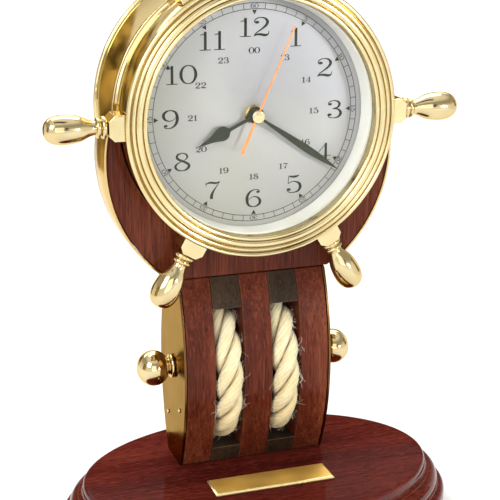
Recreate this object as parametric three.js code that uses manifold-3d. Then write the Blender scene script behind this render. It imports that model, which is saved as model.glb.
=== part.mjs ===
// Ship's deck clock: a brass ship's-wheel clock held by a wooden cradle on a double
// pulley block, which stands on an oval moulded base.
// Millimetres, +Z up, front towards -Y. The origin is the middle of the base's underside.
import * as THREE from 'three';
import { mergeVertices } from 'three/addons/utils/BufferGeometryUtils.js';
import Module from 'manifold-3d';

const wasm = await Module();
wasm.setup();

const GAP = 0.3;                    // air left between pieces that touch

// Base: an oval, moulded wooden plinth on felt
const BASE_FLAT_X = 94;             // half length of the flat top
const BASE_FLAT_Y = 62;             // half depth of the flat top
const BASE_HEIGHT = 31;
const BASE_FLARE = 13.6;            // how far the foot stands out beyond the flat top
const FELT_THICKNESS = 1.2;
const FELT_INSET = 3;
const PLAQUE = { width: 66, depth: 17.5, thickness: 1.5, bevel: 0.9, y: -22 };

// Pulley block: five glued laminations, the second and fourth cut away for the ropes
const BLOCK_Y = 22;
const LAMINATION = 15.875;
const BLOCK_HEIGHT = 106;
const BLOCK_END_HALF_DEPTH = 11.8;
const BLOCK_MID_HALF_DEPTH = 24;
const TOP_FILLER_HEIGHT = 16;
const BOTTOM_FILLER_HEIGHT = 9.5;
const AXLE_HEIGHT = 54;             // above the block's underside
const AXLE_RADIUS = 4;
const SHEAVE_RADIUS = 14.4;
const ROPE_RADIUS = 7.3;
const ROPE_LOOP_Y = 22;             // half axes of the rope's centre line
const ROPE_LOOP_Z = 32;
const ROPE_LOOP_DROP = 4;           // the loop's middle lies this far below the axle
const PLATE_THICKNESS = 1.2;
const FINIAL = { reach: 10.5, halfLength: 8.9, radius: 9.7, collar: 6.6, neck: 4.6, socket: 6.3 };
const PIN_RADIUS = 1.3;
const PLATE_PINS = [[-2, 92], [-13, 33], [10, 23]];  // y and z from the block's bottom middle

// Clock head: everything below is placed from the dial's face and the wheel's axis
const WHEEL_HEIGHT = 192;           // above the base's flat top
const DIAL_Y = BLOCK_Y - 13;
const DIAL_RADIUS = 64;
const DIAL_HOLE = 4;
const DIAL_THICKNESS = 1;
const GLASS_FRONT = -12.3;
const GLASS_BACK = -10.3;
const LIP_RADIUS = 71;
const BEZEL_WALL_RADIUS = 69.8;
const BEZEL_INNER_RADIUS = 60;
const NECK_RADIUS = 69.2;
const DRUM_RADIUS = 71.6;
const SHEET = 1.4;                  // thickness of the drum's and back plate's brass sheet
const CASE_FRONT = DIAL_THICKNESS + GAP;
const CASE_BACK = 47;
const RIM_WIDTH = 1.4;              // how far the drum's rear rim stands out
const DRUM_WINDOW = 41;             // radius of the opening in the drum's front web
const CRADLE_RADIUS = 76.5;
const CRADLE_DROP = 22;             // centre of the cradle's outline below the wheel's axis
const HORN_DROP = 3;                // the cradle's horns end this far below the axis
const SPOKES = 6;
const SPOKE_DEPTH = 8.8;            // the spokes' plane, in front of the dial
const SPOKE_BLOCK = { size: 13, length: 8.2, chamfer: 2.9 };
const HANDLE_TIP_RADIUS = 109.5;

// Movement
const MOVEMENT = { size: 56, depth: 16, nose: 3.7, noseLength: 3.9 };
const BATTERY = { radius: 7.1, length: 50, drop: 16 };
const KNOB = { radius: 8, x: 14, z: 13 };

// Hands: angles run clockwise from twelve, seen from the front; depth is from the dial's face
const HOUR_HAND = { angle: 244.5, length: 34, hub: 4.4, depth: 3.1, thickness: 0.5 };
const MINUTE_HAND = { angle: 124.5, length: 55, hub: 3.6, depth: 4.7, thickness: 0.5 };
const SECOND_HAND = { angle: 23.8, length: 49, tail: 21, hub: 2, depth: 6, thickness: 0.4 };

// Screws
const SCREW = { head: 3.4, headHeight: 2.4, shank: 1.6, point: 3 };
const SCREW_CLEARANCE = 2.2;        // radii of the holes that screws pass through
const SCREW_RECESS = 4.4;
const SCREW_PILOT = 1.9;
const BASE_SCREW = { length: 44, sunk: 4 };
const CRADLE_SCREW = { length: 28, top: 69 };   // top: its head's depth below the wheel's axis
const BACK_SCREW_X = 52;

const baseBottom = FELT_THICKNESS + GAP;
const baseTop = baseBottom + BASE_HEIGHT;
const blockBottom = baseTop + GAP;
const blockTop = blockBottom + BLOCK_HEIGHT;
const axleZ = blockBottom + AXLE_HEIGHT;
const wheelZ = baseTop + WHEEL_HEIGHT;
const blockHalfWidth = 2.5 * LAMINATION;
const plateInside = blockHalfWidth + GAP;
const plateOutside = plateInside + PLATE_THICKNESS;

const brass = { color: 0xc9a24c, roughness: 0.18, metalness: 1 };
const mahogany = { color: 0x5a1f1a, roughness: 0.3, metalness: 0 };
const ebonised = { color: 0x2b1f1a, roughness: 0.35, metalness: 0 };
const steel = { color: 0x9a9a98, roughness: 0.35, metalness: 1 };
const blackPlastic = { color: 0x17171a, roughness: 0.5, metalness: 0 };
const silver = { color: 0xcfcdca, roughness: 0.4, metalness: 0.4 };
const rope = { color: 0xe0cfa4, roughness: 0.9, metalness: 0 };
const felt = { color: 0x1f3a2a, roughness: 1, metalness: 0 };
const glass = { color: 0xffffff, roughness: 0.02, metalness: 0, transparent: true, opacity: 0.2 };

const clock = new THREE.Group();
const head = new THREE.Group();     // local frame: wheel axis on Y, dial face at y = 0
head.position.set(0, DIAL_Y, wheelZ);
clock.add(head);

// ---------------------------------------------------------------- geometry helpers

function signedVolume(position, index) {
  const a = new THREE.Vector3();
  const b = new THREE.Vector3();
  const c = new THREE.Vector3();
  let six = 0;
  for (let i = 0; i < index.length; i += 3) {
    a.fromBufferAttribute(position, index[i]);
    b.fromBufferAttribute(position, index[i + 1]);
    c.fromBufferAttribute(position, index[i + 2]);
    six += a.dot(b.cross(c));
  }
  return six / 6;
}

// Joins shared corners, drops triangles that collapsed, and turns the faces outwards.
function weld(geometry) {
  const bare = new THREE.BufferGeometry();
  bare.setAttribute('position', geometry.getAttribute('position').clone());
  if (geometry.index) bare.setIndex(geometry.index.clone());
  const merged = mergeVertices(bare, 1e-4);
  const all = merged.index.array;
  const kept = [];
  for (let i = 0; i < all.length; i += 3) {
    const [a, b, c] = [all[i], all[i + 1], all[i + 2]];
    if (a !== b && b !== c && c !== a) kept.push(a, b, c);
  }
  if (signedVolume(merged.getAttribute('position'), kept) < 0) kept.reverse();
  merged.setIndex(kept);
  return merged;
}

// A profile of [radius, height] points turned about the Y axis. An open profile starts
// and ends on the axis; a closed one is a ring.
function turned(profile, segments = 32, closed = false) {
  const points = profile.map(([r, y]) => new THREE.Vector2(r, y));
  if (closed) points.push(points[0].clone());
  return weld(new THREE.LatheGeometry(points, segments));
}

function disc(radius, low, high, segments = 32) {
  return turned([[0, low], [radius, low], [radius, high], [0, high]], segments);
}

function ring(inner, outer, low, high, segments = 32) {
  return turned([[inner, low], [outer, low], [outer, high], [inner, high]], segments, true);
}

function outline(points) {
  return new THREE.Shape(points.map(([x, y]) => new THREE.Vector2(x, y)));
}

function extruded(shape, depth, curveSegments = 24) {
  return weld(new THREE.ExtrudeGeometry(shape, { depth, bevelEnabled: false, curveSegments }));
}

function arcPoints(radius, centre, from, to, steps) {
  const points = [];
  for (let i = 0; i <= steps; i++) {
    const angle = THREE.MathUtils.lerp(from, to, i / steps);
    points.push([centre[0] + radius * Math.cos(angle), centre[1] + radius * Math.sin(angle)]);
  }
  return points;
}

// Boolean work takes geometries that already stand where they belong.
function toManifold(geometry) {
  const welded = weld(geometry);
  const vertProperties = new Float32Array(welded.getAttribute('position').array);
  const triVerts = new Uint32Array(welded.index.array);
  return new wasm.Manifold(new wasm.Mesh({ numProp: 3, vertProperties, triVerts }));
}

function fromManifold(solid) {
  const mesh = solid.getMesh();
  const geometry = new THREE.BufferGeometry();
  geometry.setAttribute('position', new THREE.BufferAttribute(mesh.vertProperties, 3));
  geometry.setIndex(new THREE.BufferAttribute(mesh.triVerts, 1));
  return geometry;
}

function cut(geometry, ...tools) {
  return fromManifold(tools.reduce((solid, tool) => solid.subtract(toManifold(tool)), toManifold(geometry)));
}

function join(geometry, ...others) {
  return fromManifold(others.reduce((solid, other) => solid.add(toManifold(other)), toManifold(geometry)));
}

// A cylinder along Z, to cut with.
function verticalRod(radius, x, y, low, high, segments = 16) {
  const rod = new THREE.CylinderGeometry(radius, radius, high - low, segments);
  return rod.rotateX(Math.PI / 2).translate(x, y, (low + high) / 2);
}

// A cylinder along X through the axle's line, to cut with.
function axleRod(radius, low, high, segments = 24) {
  const rod = new THREE.CylinderGeometry(radius, radius, high - low, segments);
  return rod.rotateZ(Math.PI / 2).translate((low + high) / 2, BLOCK_Y, axleZ);
}

function add(parent, name, geometry, finish, position = [0, 0, 0]) {
  const mesh = new THREE.Mesh(geometry, new THREE.MeshStandardMaterial(finish));
  mesh.name = name;
  mesh.position.set(...position);
  parent.add(mesh);
  return mesh;
}

// ---------------------------------------------------------------- base

// A round turning stretched along X, so that every moulding keeps its own width.
function stretchedOval(profile) {
  const geometry = turned(profile, 56).rotateX(Math.PI / 2);
  const position = geometry.getAttribute('position');
  for (let i = 0; i < position.count; i++) {
    const x = position.getX(i);
    const radius = Math.hypot(x, position.getY(i));
    const share = Math.min(1, radius / BASE_FLAT_Y);
    if (radius > 0) position.setX(i, x + (x / radius) * (BASE_FLAT_X - BASE_FLAT_Y) * share);
  }
  return geometry;
}

const screwX = 2 * LAMINATION;
const sides = { left: -1, right: 1 };

function makeBase() {
  const foot = BASE_FLAT_Y + BASE_FLARE;
  const flat = BASE_FLAT_Y;
  const top = baseTop;
  const profile = [
    [0, baseBottom], [foot, baseBottom], [foot, top - 19.5],
    ...arcPoints(3, [foot - 3, top - 19.5], 0, Math.PI / 2, 2).slice(1),
    [flat + 9.5, top - 16.2], [flat + 9.5, top - 13.5],
    ...arcPoints(6.5, [flat + 3, top - 13.5], 0, Math.PI / 2, 3).slice(1),
    [flat + 2, top - 4.5], [flat + 2, top - 1.6], [flat, top], [0, top],
  ];
  const tools = [];
  for (const side of Object.values(sides)) {
    tools.push(verticalRod(SCREW_CLEARANCE, side * screwX, BLOCK_Y, baseBottom - 1, top + 1));
    const recessTop = baseBottom + 2 * BASE_SCREW.sunk;
    tools.push(verticalRod(SCREW_RECESS, side * screwX, BLOCK_Y, baseBottom - 1, recessTop));
  }
  add(clock, 'base', cut(stretchedOval(profile), ...tools), mahogany);

  const edge = foot - FELT_INSET;
  const cloth = stretchedOval([[0, 0], [edge, 0], [edge, FELT_THICKNESS], [0, FELT_THICKNESS]]);
  add(clock, 'base_felt', cloth, felt);
}

// A plate whose sides slope in towards its top.
function makePlaque() {
  const { width, depth, thickness, bevel, y } = PLAQUE;
  const plate = new THREE.BoxGeometry(width, depth, thickness);
  const position = plate.getAttribute('position');
  for (let i = 0; i < position.count; i++) {
    if (position.getZ(i) < 0) continue;
    position.setX(i, position.getX(i) - Math.sign(position.getX(i)) * bevel);
    position.setY(i, position.getY(i) - Math.sign(position.getY(i)) * bevel);
  }
  add(clock, 'plaque', weld(plate), brass, [0, y, baseTop + GAP + thickness / 2]);
}

// ---------------------------------------------------------------- fasteners

// A wood screw that points down from its head, which sits at the origin.
function screwGeometry(length) {
  const { head: wide, headHeight, shank, point } = SCREW;
  return turned([
    [0, -length], [shank, -length + point], [shank, -headHeight], [wide, -headHeight],
    [wide, -0.5], [wide - 0.6, 0], [0, 0],
  ], 12);
}

function makeScrews() {
  Object.values(sides).forEach((side, i) => {
    const below = add(clock, `base_screw_${i + 1}`, screwGeometry(BASE_SCREW.length), steel);
    below.rotation.x = -Math.PI / 2;
    below.position.set(side * screwX, BLOCK_Y, baseBottom + BASE_SCREW.sunk);
    const above = add(clock, `cradle_screw_${i + 1}`, screwGeometry(CRADLE_SCREW.length), steel);
    above.rotation.x = Math.PI / 2;
    above.position.set(side * screwX, BLOCK_Y, wheelZ - CRADLE_SCREW.top);
  });
}

// ---------------------------------------------------------------- pulley block

// The block's side view, as [y, z] from its bottom middle; front and back bulge alike.
function bulge(low, high, steps) {
  const rise = BLOCK_MID_HALF_DEPTH - BLOCK_END_HALF_DEPTH;
  const half = BLOCK_HEIGHT / 2;
  const radius = (half * half + rise * rise) / (2 * rise);
  const centre = BLOCK_MID_HALF_DEPTH - radius;
  const from = Math.asin((low - half) / radius);
  const to = Math.asin((high - half) / radius);
  return arcPoints(radius, [centre, half], from, to, steps);
}

// A slab of the block from height low to high, between x = from and x = to.
function slab(from, to, low = 0, high = BLOCK_HEIGHT, steps = 14) {
  const back = bulge(low, high, steps);
  const front = back.map(([y, z]) => [-y, z]).reverse();
  const geometry = extruded(outline([...back, ...front]), to - from);
  geometry.applyMatrix4(new THREE.Matrix4().makeBasis(
    new THREE.Vector3(0, 1, 0), new THREE.Vector3(0, 0, 1), new THREE.Vector3(1, 0, 0),
  ));
  return geometry.translate(from, BLOCK_Y, blockBottom);
}

function makeBlock() {
  const bore = axleRod(AXLE_RADIUS + GAP, -blockHalfWidth - 1, blockHalfWidth + 1);
  const half = LAMINATION / 2 - GAP / 2;
  for (const [name, side] of Object.entries(sides)) {
    const x = side * 2 * LAMINATION;
    const pilots = [
      verticalRod(SCREW_PILOT, x, BLOCK_Y, blockBottom - 1, blockBottom + 20),
      verticalRod(SCREW_PILOT, x, BLOCK_Y, blockTop - 22, blockTop + 1),
    ];
    add(clock, `block_cheek_${name}`, cut(slab(x - half, x + half), bore, ...pilots), mahogany);

    const slotX = side * LAMINATION;
    const [from, to] = [slotX - half, slotX + half];
    const topFiller = slab(from, to, BLOCK_HEIGHT - TOP_FILLER_HEIGHT, BLOCK_HEIGHT, 3);
    add(clock, `block_top_filler_${name}`, weld(topFiller), ebonised);
    const bottomFiller = slab(from, to, 0, BOTTOM_FILLER_HEIGHT, 2);
    add(clock, `block_bottom_filler_${name}`, weld(bottomFiller), ebonised);
  }
  add(clock, 'block_partition', cut(slab(-half, half), bore), mahogany);
}

function makeSidePlates() {
  for (const [name, side] of Object.entries(sides)) {
    const [near, far] = [plateInside, plateOutside].map((x) => side * x);
    const sheet = slab(Math.min(near, far), Math.max(near, far));
    const bore = axleRod(AXLE_RADIUS + GAP, Math.min(near, far) - 1, Math.max(near, far) + 1);
    add(clock, `side_plate_${name}`, cut(sheet, bore), brass);
    PLATE_PINS.forEach(([y, z], i) => {
      const pin = disc(PIN_RADIUS, 0, 0.6, 12);
      const mesh = add(clock, `plate_pin_${name}_${i + 1}`, pin, brass);
      mesh.rotation.z = -side * Math.PI / 2;
      mesh.position.set(side * (plateOutside + 0.2), BLOCK_Y + y, blockBottom + z);
    });
  }
}

// ---------------------------------------------------------------- axle, sheaves and ropes

function makeAxle() {
  const halfLength = plateOutside + 6;
  const rod = add(clock, 'axle_rod', disc(AXLE_RADIUS, -halfLength, halfLength, 24), brass);
  rod.rotation.z = -Math.PI / 2;
  rod.position.set(0, BLOCK_Y, axleZ);

  const { reach, halfLength: ball, radius, collar, neck, socket } = FINIAL;
  const neckAngle = Math.asin(neck / radius);
  const ballOutline = [];
  for (let i = 0; i < 8; i++) {
    const angle = THREE.MathUtils.lerp(neckAngle, Math.PI, i / 8);
    ballOutline.push([radius * Math.sin(angle), reach - ball * Math.cos(angle)]);
  }
  const bore = AXLE_RADIUS + GAP;
  const profile = [
    [0, socket], [bore, socket], [bore, 0], [collar, 0], [collar, 1.4], [neck, 2.4],
    ...ballOutline, [0, reach + ball],
  ];
  for (const [name, side] of Object.entries(sides)) {
    const finial = add(clock, `ball_finial_${name}`, turned(profile, 18), brass);
    finial.rotation.z = -side * Math.PI / 2;
    finial.position.set(side * (plateOutside + GAP), BLOCK_Y, axleZ);
  }
}

function makeSheaves() {
  const halfWidth = 5.5;
  const groove = SHEAVE_RADIUS - 1.4;
  const bore = AXLE_RADIUS + GAP;
  const profile = [
    [bore, -halfWidth], [SHEAVE_RADIUS, -halfWidth], [SHEAVE_RADIUS, -halfWidth + 1.5],
    [groove, 0], [SHEAVE_RADIUS, halfWidth - 1.5], [SHEAVE_RADIUS, halfWidth], [bore, halfWidth],
  ];
  for (const [name, side] of Object.entries(sides)) {
    const sheave = add(clock, `sheave_${name}`, turned(profile, 24, true), brass);
    sheave.rotation.z = -Math.PI / 2;
    sheave.position.set(side * LAMINATION, BLOCK_Y, axleZ);
  }
}

// A torus whose centre line is stretched into the upright oval of the rope's loop.
function makeRopes() {
  for (const [name, side] of Object.entries(sides)) {
    const torus = new THREE.TorusGeometry(ROPE_LOOP_Y, ROPE_RADIUS, 8, 28);
    const position = torus.getAttribute('position');
    for (let i = 0; i < position.count; i++) {
      const angle = Math.atan2(position.getY(i), position.getX(i));
      position.setY(i, position.getY(i) + (ROPE_LOOP_Z - ROPE_LOOP_Y) * Math.sin(angle));
    }
    torus.rotateX(Math.PI / 2).rotateZ(Math.PI / 2);
    const centre = [side * LAMINATION, BLOCK_Y, axleZ - ROPE_LOOP_DROP];
    add(clock, `rope_loop_${name}`, weld(torus), rope, centre);
  }
}

// ---------------------------------------------------------------- cradle

const cradleFront = BLOCK_Y - BLOCK_END_HALF_DEPTH;
const cradleBack = BLOCK_Y + BLOCK_END_HALF_DEPTH;
const chord = blockTop + GAP - wheelZ;      // the cradle's flat underside, from the axis
const drumStep = 9.5;                       // where the drum steps out, behind the dial face

// The crescent's front view about the wheel's axis, with a bore of the given radius.
function crescent(bore) {
  const centre = [0, -CRADLE_DROP];
  const onOutline = (z) => Math.asin((z + CRADLE_DROP) / CRADLE_RADIUS);
  const onBore = Math.asin(-HORN_DROP / bore);
  const right = arcPoints(CRADLE_RADIUS, centre, onOutline(chord), onOutline(-HORN_DROP), 16);
  const left = right.map(([x, z]) => [-x, z]).reverse();
  const inside = arcPoints(bore, [0, 0], -Math.PI - onBore, onBore, 30);
  return outline([...right, ...[...inside].reverse(), ...left]);
}

// Extrudes a front view along +Y from y = low to y = high, about the wheel's axis.
function frontal(shape, low, high) {
  const geometry = extruded(shape, high - low);
  return geometry.rotateX(Math.PI / 2).translate(0, high, wheelZ);
}

function makeCradle() {
  const step = DIAL_Y + drumStep;
  const seat = frontal(crescent(NECK_RADIUS + 3 * GAP), cradleFront, step);
  const grip = frontal(crescent(DRUM_RADIUS + 2 * GAP), step - GAP, cradleBack);
  const tools = [];
  for (const side of Object.values(sides)) {
    const seatZ = wheelZ - CRADLE_SCREW.top - SCREW.headHeight - GAP;
    tools.push(verticalRod(SCREW_CLEARANCE, side * screwX, BLOCK_Y, wheelZ + chord - 1, wheelZ));
    tools.push(verticalRod(SCREW_RECESS, side * screwX, BLOCK_Y, seatZ, wheelZ));
  }
  add(clock, 'cradle', cut(join(seat, grip), ...tools), mahogany);
}

function makeStraps() {
  const inner = CRADLE_RADIUS + GAP;
  const outer = inner + PLATE_THICKNESS;
  const centre = [0, -CRADLE_DROP];
  const angleAt = (z, radius) => Math.asin((z + CRADLE_DROP) / radius);
  for (const [name, side] of Object.entries(sides)) {
    const inside = arcPoints(inner, centre, angleAt(chord, inner), angleAt(-HORN_DROP, inner), 18);
    const outside = arcPoints(outer, centre, angleAt(chord, outer), angleAt(-HORN_DROP, outer), 18);
    const band = [...outside, ...inside.reverse()].map(([x, z]) => [side * x, z]);
    add(clock, `cradle_strap_${name}`, frontal(outline(band), cradleFront, cradleBack), brass);
  }
}

// ---------------------------------------------------------------- clock case

function makeDrum() {
  const front = CASE_FRONT;
  const back = CASE_BACK;
  const inside = DRUM_RADIUS - SHEET;
  const rim = DRUM_RADIUS + RIM_WIDTH;
  const profile = [
    [DRUM_WINDOW, front], [NECK_RADIUS, front], [NECK_RADIUS, drumStep], [DRUM_RADIUS, drumStep],
    [DRUM_RADIUS, back - 3], [rim, back - 2.2], [rim, back],
    [inside, back], [inside, drumStep + SHEET], [NECK_RADIUS - SHEET, drumStep + SHEET],
    [NECK_RADIUS - SHEET, front + SHEET], [DRUM_WINDOW, front + SHEET],
  ];
  const shell = turned(profile, 48, true);
  const holes = Object.values(sides).map((side) => backScrewHole(side, front));
  add(head, 'clock_drum', cut(shell, ...holes), brass);
}

function makeBezel() {
  const wall = BEZEL_WALL_RADIUS;
  const inner = BEZEL_INNER_RADIUS;
  const seat = DIAL_RADIUS + GAP;
  const profile = [
    [seat, DIAL_THICKNESS], [wall, DIAL_THICKNESS], [wall, -15.6],
    [LIP_RADIUS, -16.2], [LIP_RADIUS, -17.2], [LIP_RADIUS - 1, -17.8],
    [68.6, -16.2], [67.4, -16.2], [66.6, -18], [64.8, -17.6], [63, -18.3], [60.6, -17.8],
    [inner, -16.9], [inner, GLASS_FRONT - GAP], [seat, GLASS_FRONT - GAP],
  ];
  add(head, 'bezel', turned(profile, 48, true), brass);
}

function makeFace() {
  add(head, 'glass', disc(DIAL_RADIUS, GLASS_FRONT, GLASS_BACK, 40), glass);
  const front = GLASS_BACK + GAP;
  const slanted = [[59.9, front], [DIAL_RADIUS, front], [DIAL_RADIUS, -GAP], [58.8, -GAP]];
  add(head, 'reflector_ring', turned(slanted, 36, true), silver);
  add(head, 'dial', ring(DIAL_HOLE, DIAL_RADIUS, 0, DIAL_THICKNESS, 36), silver);
}

function backScrewHole(side, depth) {
  const hole = new THREE.CylinderGeometry(SCREW_PILOT, SCREW_PILOT, 6, 12);
  return hole.translate(side * BACK_SCREW_X, depth, 0);
}

function makeBackPlate() {
  const low = drumStep + SHEET + GAP;
  const high = low + SHEET;
  const plate = disc(DRUM_RADIUS - SHEET - GAP, low, high, 36);
  const opening = MOVEMENT.size + 4 * GAP;
  const window = new THREE.BoxGeometry(opening, 8, opening).translate(0, low, 0);
  const holes = Object.values(sides).map((side) => backScrewHole(side, low));
  add(head, 'back_plate', cut(plate, window, ...holes), brass);
  const top = high + GAP + SCREW.headHeight;
  Object.values(sides).forEach((side, i) => {
    const place = [side * BACK_SCREW_X, top, 0];
    add(head, `back_screw_${i + 1}`, screwGeometry(top - CASE_FRONT), steel, place);
  });
}

// ---------------------------------------------------------------- wheel handles

function makeHandles() {
  const { size, length, chamfer } = SPOKE_BLOCK;
  const half = size / 2;
  const blockShape = outline([
    [0, -half], [length - chamfer, -half], [length, -half + chamfer], [length, half - chamfer],
    [length - chamfer, half], [0, half],
  ]);
  const blockStart = BEZEL_WALL_RADIUS + 2 * GAP;
  const gripStart = blockStart + length + GAP;
  const reach = HANDLE_TIP_RADIUS - gripStart;
  const grip = [
    [0, 0], [5.7, 0.5], [5.7, 1.8], [4.5, 2.5], [5.4, 3.4], [4.6, 4.6], [3.8, 6],
    [5.2, 11], [6.9, 17], [7.35, 22], [6.4, 27.5], [3.4, reach - 0.4], [0, reach],
  ];
  for (let i = 0; i < SPOKES; i++) {
    const spoke = new THREE.Group();
    spoke.position.y = -SPOKE_DEPTH;
    spoke.rotation.y = -i * 2 * Math.PI / SPOKES;
    head.add(spoke);
    const body = extruded(blockShape, size).rotateX(Math.PI / 2);
    add(spoke, `spoke_block_${i + 1}`, body, brass, [blockStart, half, 0]);
    const handle = add(spoke, `handle_grip_${i + 1}`, turned(grip, 14), brass, [gripStart, 0, 0]);
    handle.rotation.z = -Math.PI / 2;
  }
}

// ---------------------------------------------------------------- movement and hands

function makeMovement() {
  const { size, depth, nose, noseLength } = MOVEMENT;
  const front = CASE_FRONT;
  const housing = new THREE.BoxGeometry(size, depth, size).translate(0, front + depth / 2, 0);
  const tube = new THREE.CylinderGeometry(nose, nose, noseLength + 2, 20);
  tube.translate(0, front - noseLength / 2 + 1, 0);
  const troughDepth = 2 * BATTERY.radius + 0.6;
  const trough = new THREE.BoxGeometry(BATTERY.length + 2.4, troughDepth + 1, troughDepth);
  trough.translate(0, front + depth - troughDepth / 2 + 0.5, -BATTERY.drop);
  add(head, 'movement', cut(join(housing, tube), trough), blackPlastic);
  add(head, 'movement_nut', ring(nose + 0.3, 5, -2.1, -GAP, 20), blackPlastic);

  const { radius, length } = BATTERY;
  const cell = [
    [0, -length / 2], [radius, -length / 2], [radius, length / 2 - 1.5],
    [2.7, length / 2 - 1.5], [2.7, length / 2], [0, length / 2],
  ];
  const battery = add(head, 'battery', turned(cell, 24), blackPlastic);
  battery.rotation.z = -Math.PI / 2;
  battery.position.set(0, front + depth - radius - 0.3, -BATTERY.drop);

  const back = front + depth + GAP;
  const knob = disc(KNOB.radius, 0, 3, 24);
  add(head, 'setting_knob', knob, blackPlastic, [KNOB.x, back, KNOB.z]);
}

// A hand's front view points along +X before it is turned to its angle; half is a list of
// [distance, half width] from the hub outwards.
function addHand(name, hand, half, finish, tail = []) {
  const { hub, thickness, depth, angle } = hand;
  const upper = [...tail.map(([d, w]) => [-d, w]).reverse(), ...half];
  const lower = upper.map(([d, w]) => [d, -w]).reverse();
  const blade = extruded(outline([...upper, ...lower.filter(([, w]) => w < 0)]), thickness);
  const boss = new THREE.CylinderGeometry(hub, hub, thickness, 20);
  boss.rotateX(Math.PI / 2).translate(0, 0, thickness / 2);
  const mesh = add(head, name, join(blade, boss), finish, [0, -depth, 0]);
  mesh.geometry.rotateX(Math.PI / 2);
  mesh.rotation.y = THREE.MathUtils.degToRad(angle - 90);
}

function makeHands() {
  const dark = { color: 0x2c2e2a, roughness: 0.45, metalness: 0.4 };
  const orange = { color: 0xe07b3a, roughness: 0.4, metalness: 0 };
  const spade = [[3, 0.9], [14, 0.9], [17, 1.6], [22, 3.6], [28, 2], [HOUR_HAND.length, 0]];
  addHand('hour_hand', HOUR_HAND, spade, dark);
  const leaf = [[3, 0.8], [8, 0.9], [18, 1.8], [28, 2.3], [40, 1.5], [MINUTE_HAND.length, 0]];
  addHand('minute_hand', MINUTE_HAND, leaf, dark);
  const needle = [[3, 0.55], [SECOND_HAND.length, 0.3]];
  addHand('second_hand', SECOND_HAND, needle, orange, [[3, 0.6], [SECOND_HAND.tail, 0.7]]);
  const cap = turned([[0, -8], [2.4, -8], [3.4, -7.5], [3.4, -6.8], [0, -6.8]], 16);
  add(head, 'hand_cap', cap, brass);
}

makeBase();
makePlaque();
makeScrews();
makeBlock();
makeSidePlates();
makeAxle();
makeSheaves();
makeRopes();
makeCradle();
makeStraps();
makeDrum();
makeBezel();
makeFace();
makeBackPlate();
makeHandles();
makeMovement();
makeHands();

export default clock;
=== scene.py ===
import math
import random

import bmesh
import bpy
import numpy as np
from mathutils import Matrix, Vector
from mathutils.geometry import tessellate_polygon


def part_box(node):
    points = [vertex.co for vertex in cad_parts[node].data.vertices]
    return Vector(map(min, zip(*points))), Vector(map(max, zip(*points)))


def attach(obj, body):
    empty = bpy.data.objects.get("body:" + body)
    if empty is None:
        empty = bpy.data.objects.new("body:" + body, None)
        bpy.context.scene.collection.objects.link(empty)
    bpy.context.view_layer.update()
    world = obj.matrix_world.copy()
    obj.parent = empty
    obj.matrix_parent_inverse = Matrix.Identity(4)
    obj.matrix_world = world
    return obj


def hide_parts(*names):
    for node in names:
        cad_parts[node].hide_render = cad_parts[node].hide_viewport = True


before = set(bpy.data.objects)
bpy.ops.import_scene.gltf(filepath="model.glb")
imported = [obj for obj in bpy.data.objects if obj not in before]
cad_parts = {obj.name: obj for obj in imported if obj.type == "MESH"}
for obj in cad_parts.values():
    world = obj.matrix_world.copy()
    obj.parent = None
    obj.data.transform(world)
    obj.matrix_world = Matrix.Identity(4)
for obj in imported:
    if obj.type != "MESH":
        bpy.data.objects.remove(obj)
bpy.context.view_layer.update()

# A ship's-wheel clock on a roped pulley block. Shapes are written in millimetres and turned into
# metres as each mesh is made. Heights, centres and depths come from the CAD frame's boxes.

MM = 0.001
WELD = 1e-8
random.seed(11)


def box_mm(node):
    low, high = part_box(node)
    return np.array(low) / MM, np.array(high) / MM


def middle_mm(node):
    low, high = box_mm(node)
    return (low + high) / 2


dial_low, dial_high = box_mm("dial")
WHEEL = np.array([0.0, dial_low[1], (dial_low[2] + dial_high[2]) / 2])
AXLE = middle_mm("axle_rod")
BASE_LOW, BASE_HIGH = box_mm("base")
BASE_TOP = BASE_HIGH[2]
BLOCK_LOW, BLOCK_HIGH = box_mm("block_partition")
BLOCK_Y = (BLOCK_LOW[1] + BLOCK_HIGH[1]) / 2


# --- outlines

def arc(centre, radii, start, end, steps):
    """Points on an ellipse's arc, angles in degrees."""
    if not isinstance(radii, tuple):
        radii = (radii, radii)
    angles = np.radians(np.linspace(start, end, steps + 1))
    return [(centre[0] + radii[0] * math.cos(a), centre[1] + radii[1] * math.sin(a))
            for a in angles]


def circle(radius, count, centre=(0, 0)):
    return arc(centre, radius, 0, 360, count)[:-1]


def filleted(points, radius, steps=4, closed=True):
    """Rounds every corner of an outline. A third number on a point is its own radius."""
    places = [np.array(p[:2], float) for p in points]
    radii = [p[2] if len(p) > 2 else radius for p in points]
    made = []
    count = len(places)
    for i, place in enumerate(places):
        if not closed and i in (0, count - 1):
            made.append(tuple(place))
            continue
        before, after = places[i - 1] - place, places[(i + 1) % count] - place
        len_before, len_after = np.linalg.norm(before), np.linalg.norm(after)
        before, after = before / len_before, after / len_after
        angle = math.acos(max(-1.0, min(1.0, float(before @ after))))
        if radii[i] <= 0 or angle > math.radians(170) or angle < math.radians(4):
            made.append(tuple(place))
            continue
        reach = min(radii[i] / math.tan(angle / 2), 0.48 * len_before, 0.48 * len_after)
        r = reach * math.tan(angle / 2)
        bisector = (before + after) / np.linalg.norm(before + after)
        centre = place + bisector * (r / math.sin(angle / 2))
        first, last = place + before * reach - centre, place + after * reach - centre
        start = math.atan2(first[1], first[0])
        sweep = (math.atan2(last[1], last[0]) - start + math.pi) % (2 * math.pi) - math.pi
        for k in range(steps + 1):
            a = start + sweep * k / steps
            made.append((centre[0] + r * math.cos(a), centre[1] + r * math.sin(a)))
    return made


def rectangle(half_x, half_y, radius=0.0, steps=4):
    corners = [(-half_x, -half_y), (half_x, -half_y), (half_x, half_y), (-half_x, half_y)]
    return filleted(corners, radius, steps) if radius else corners


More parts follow.
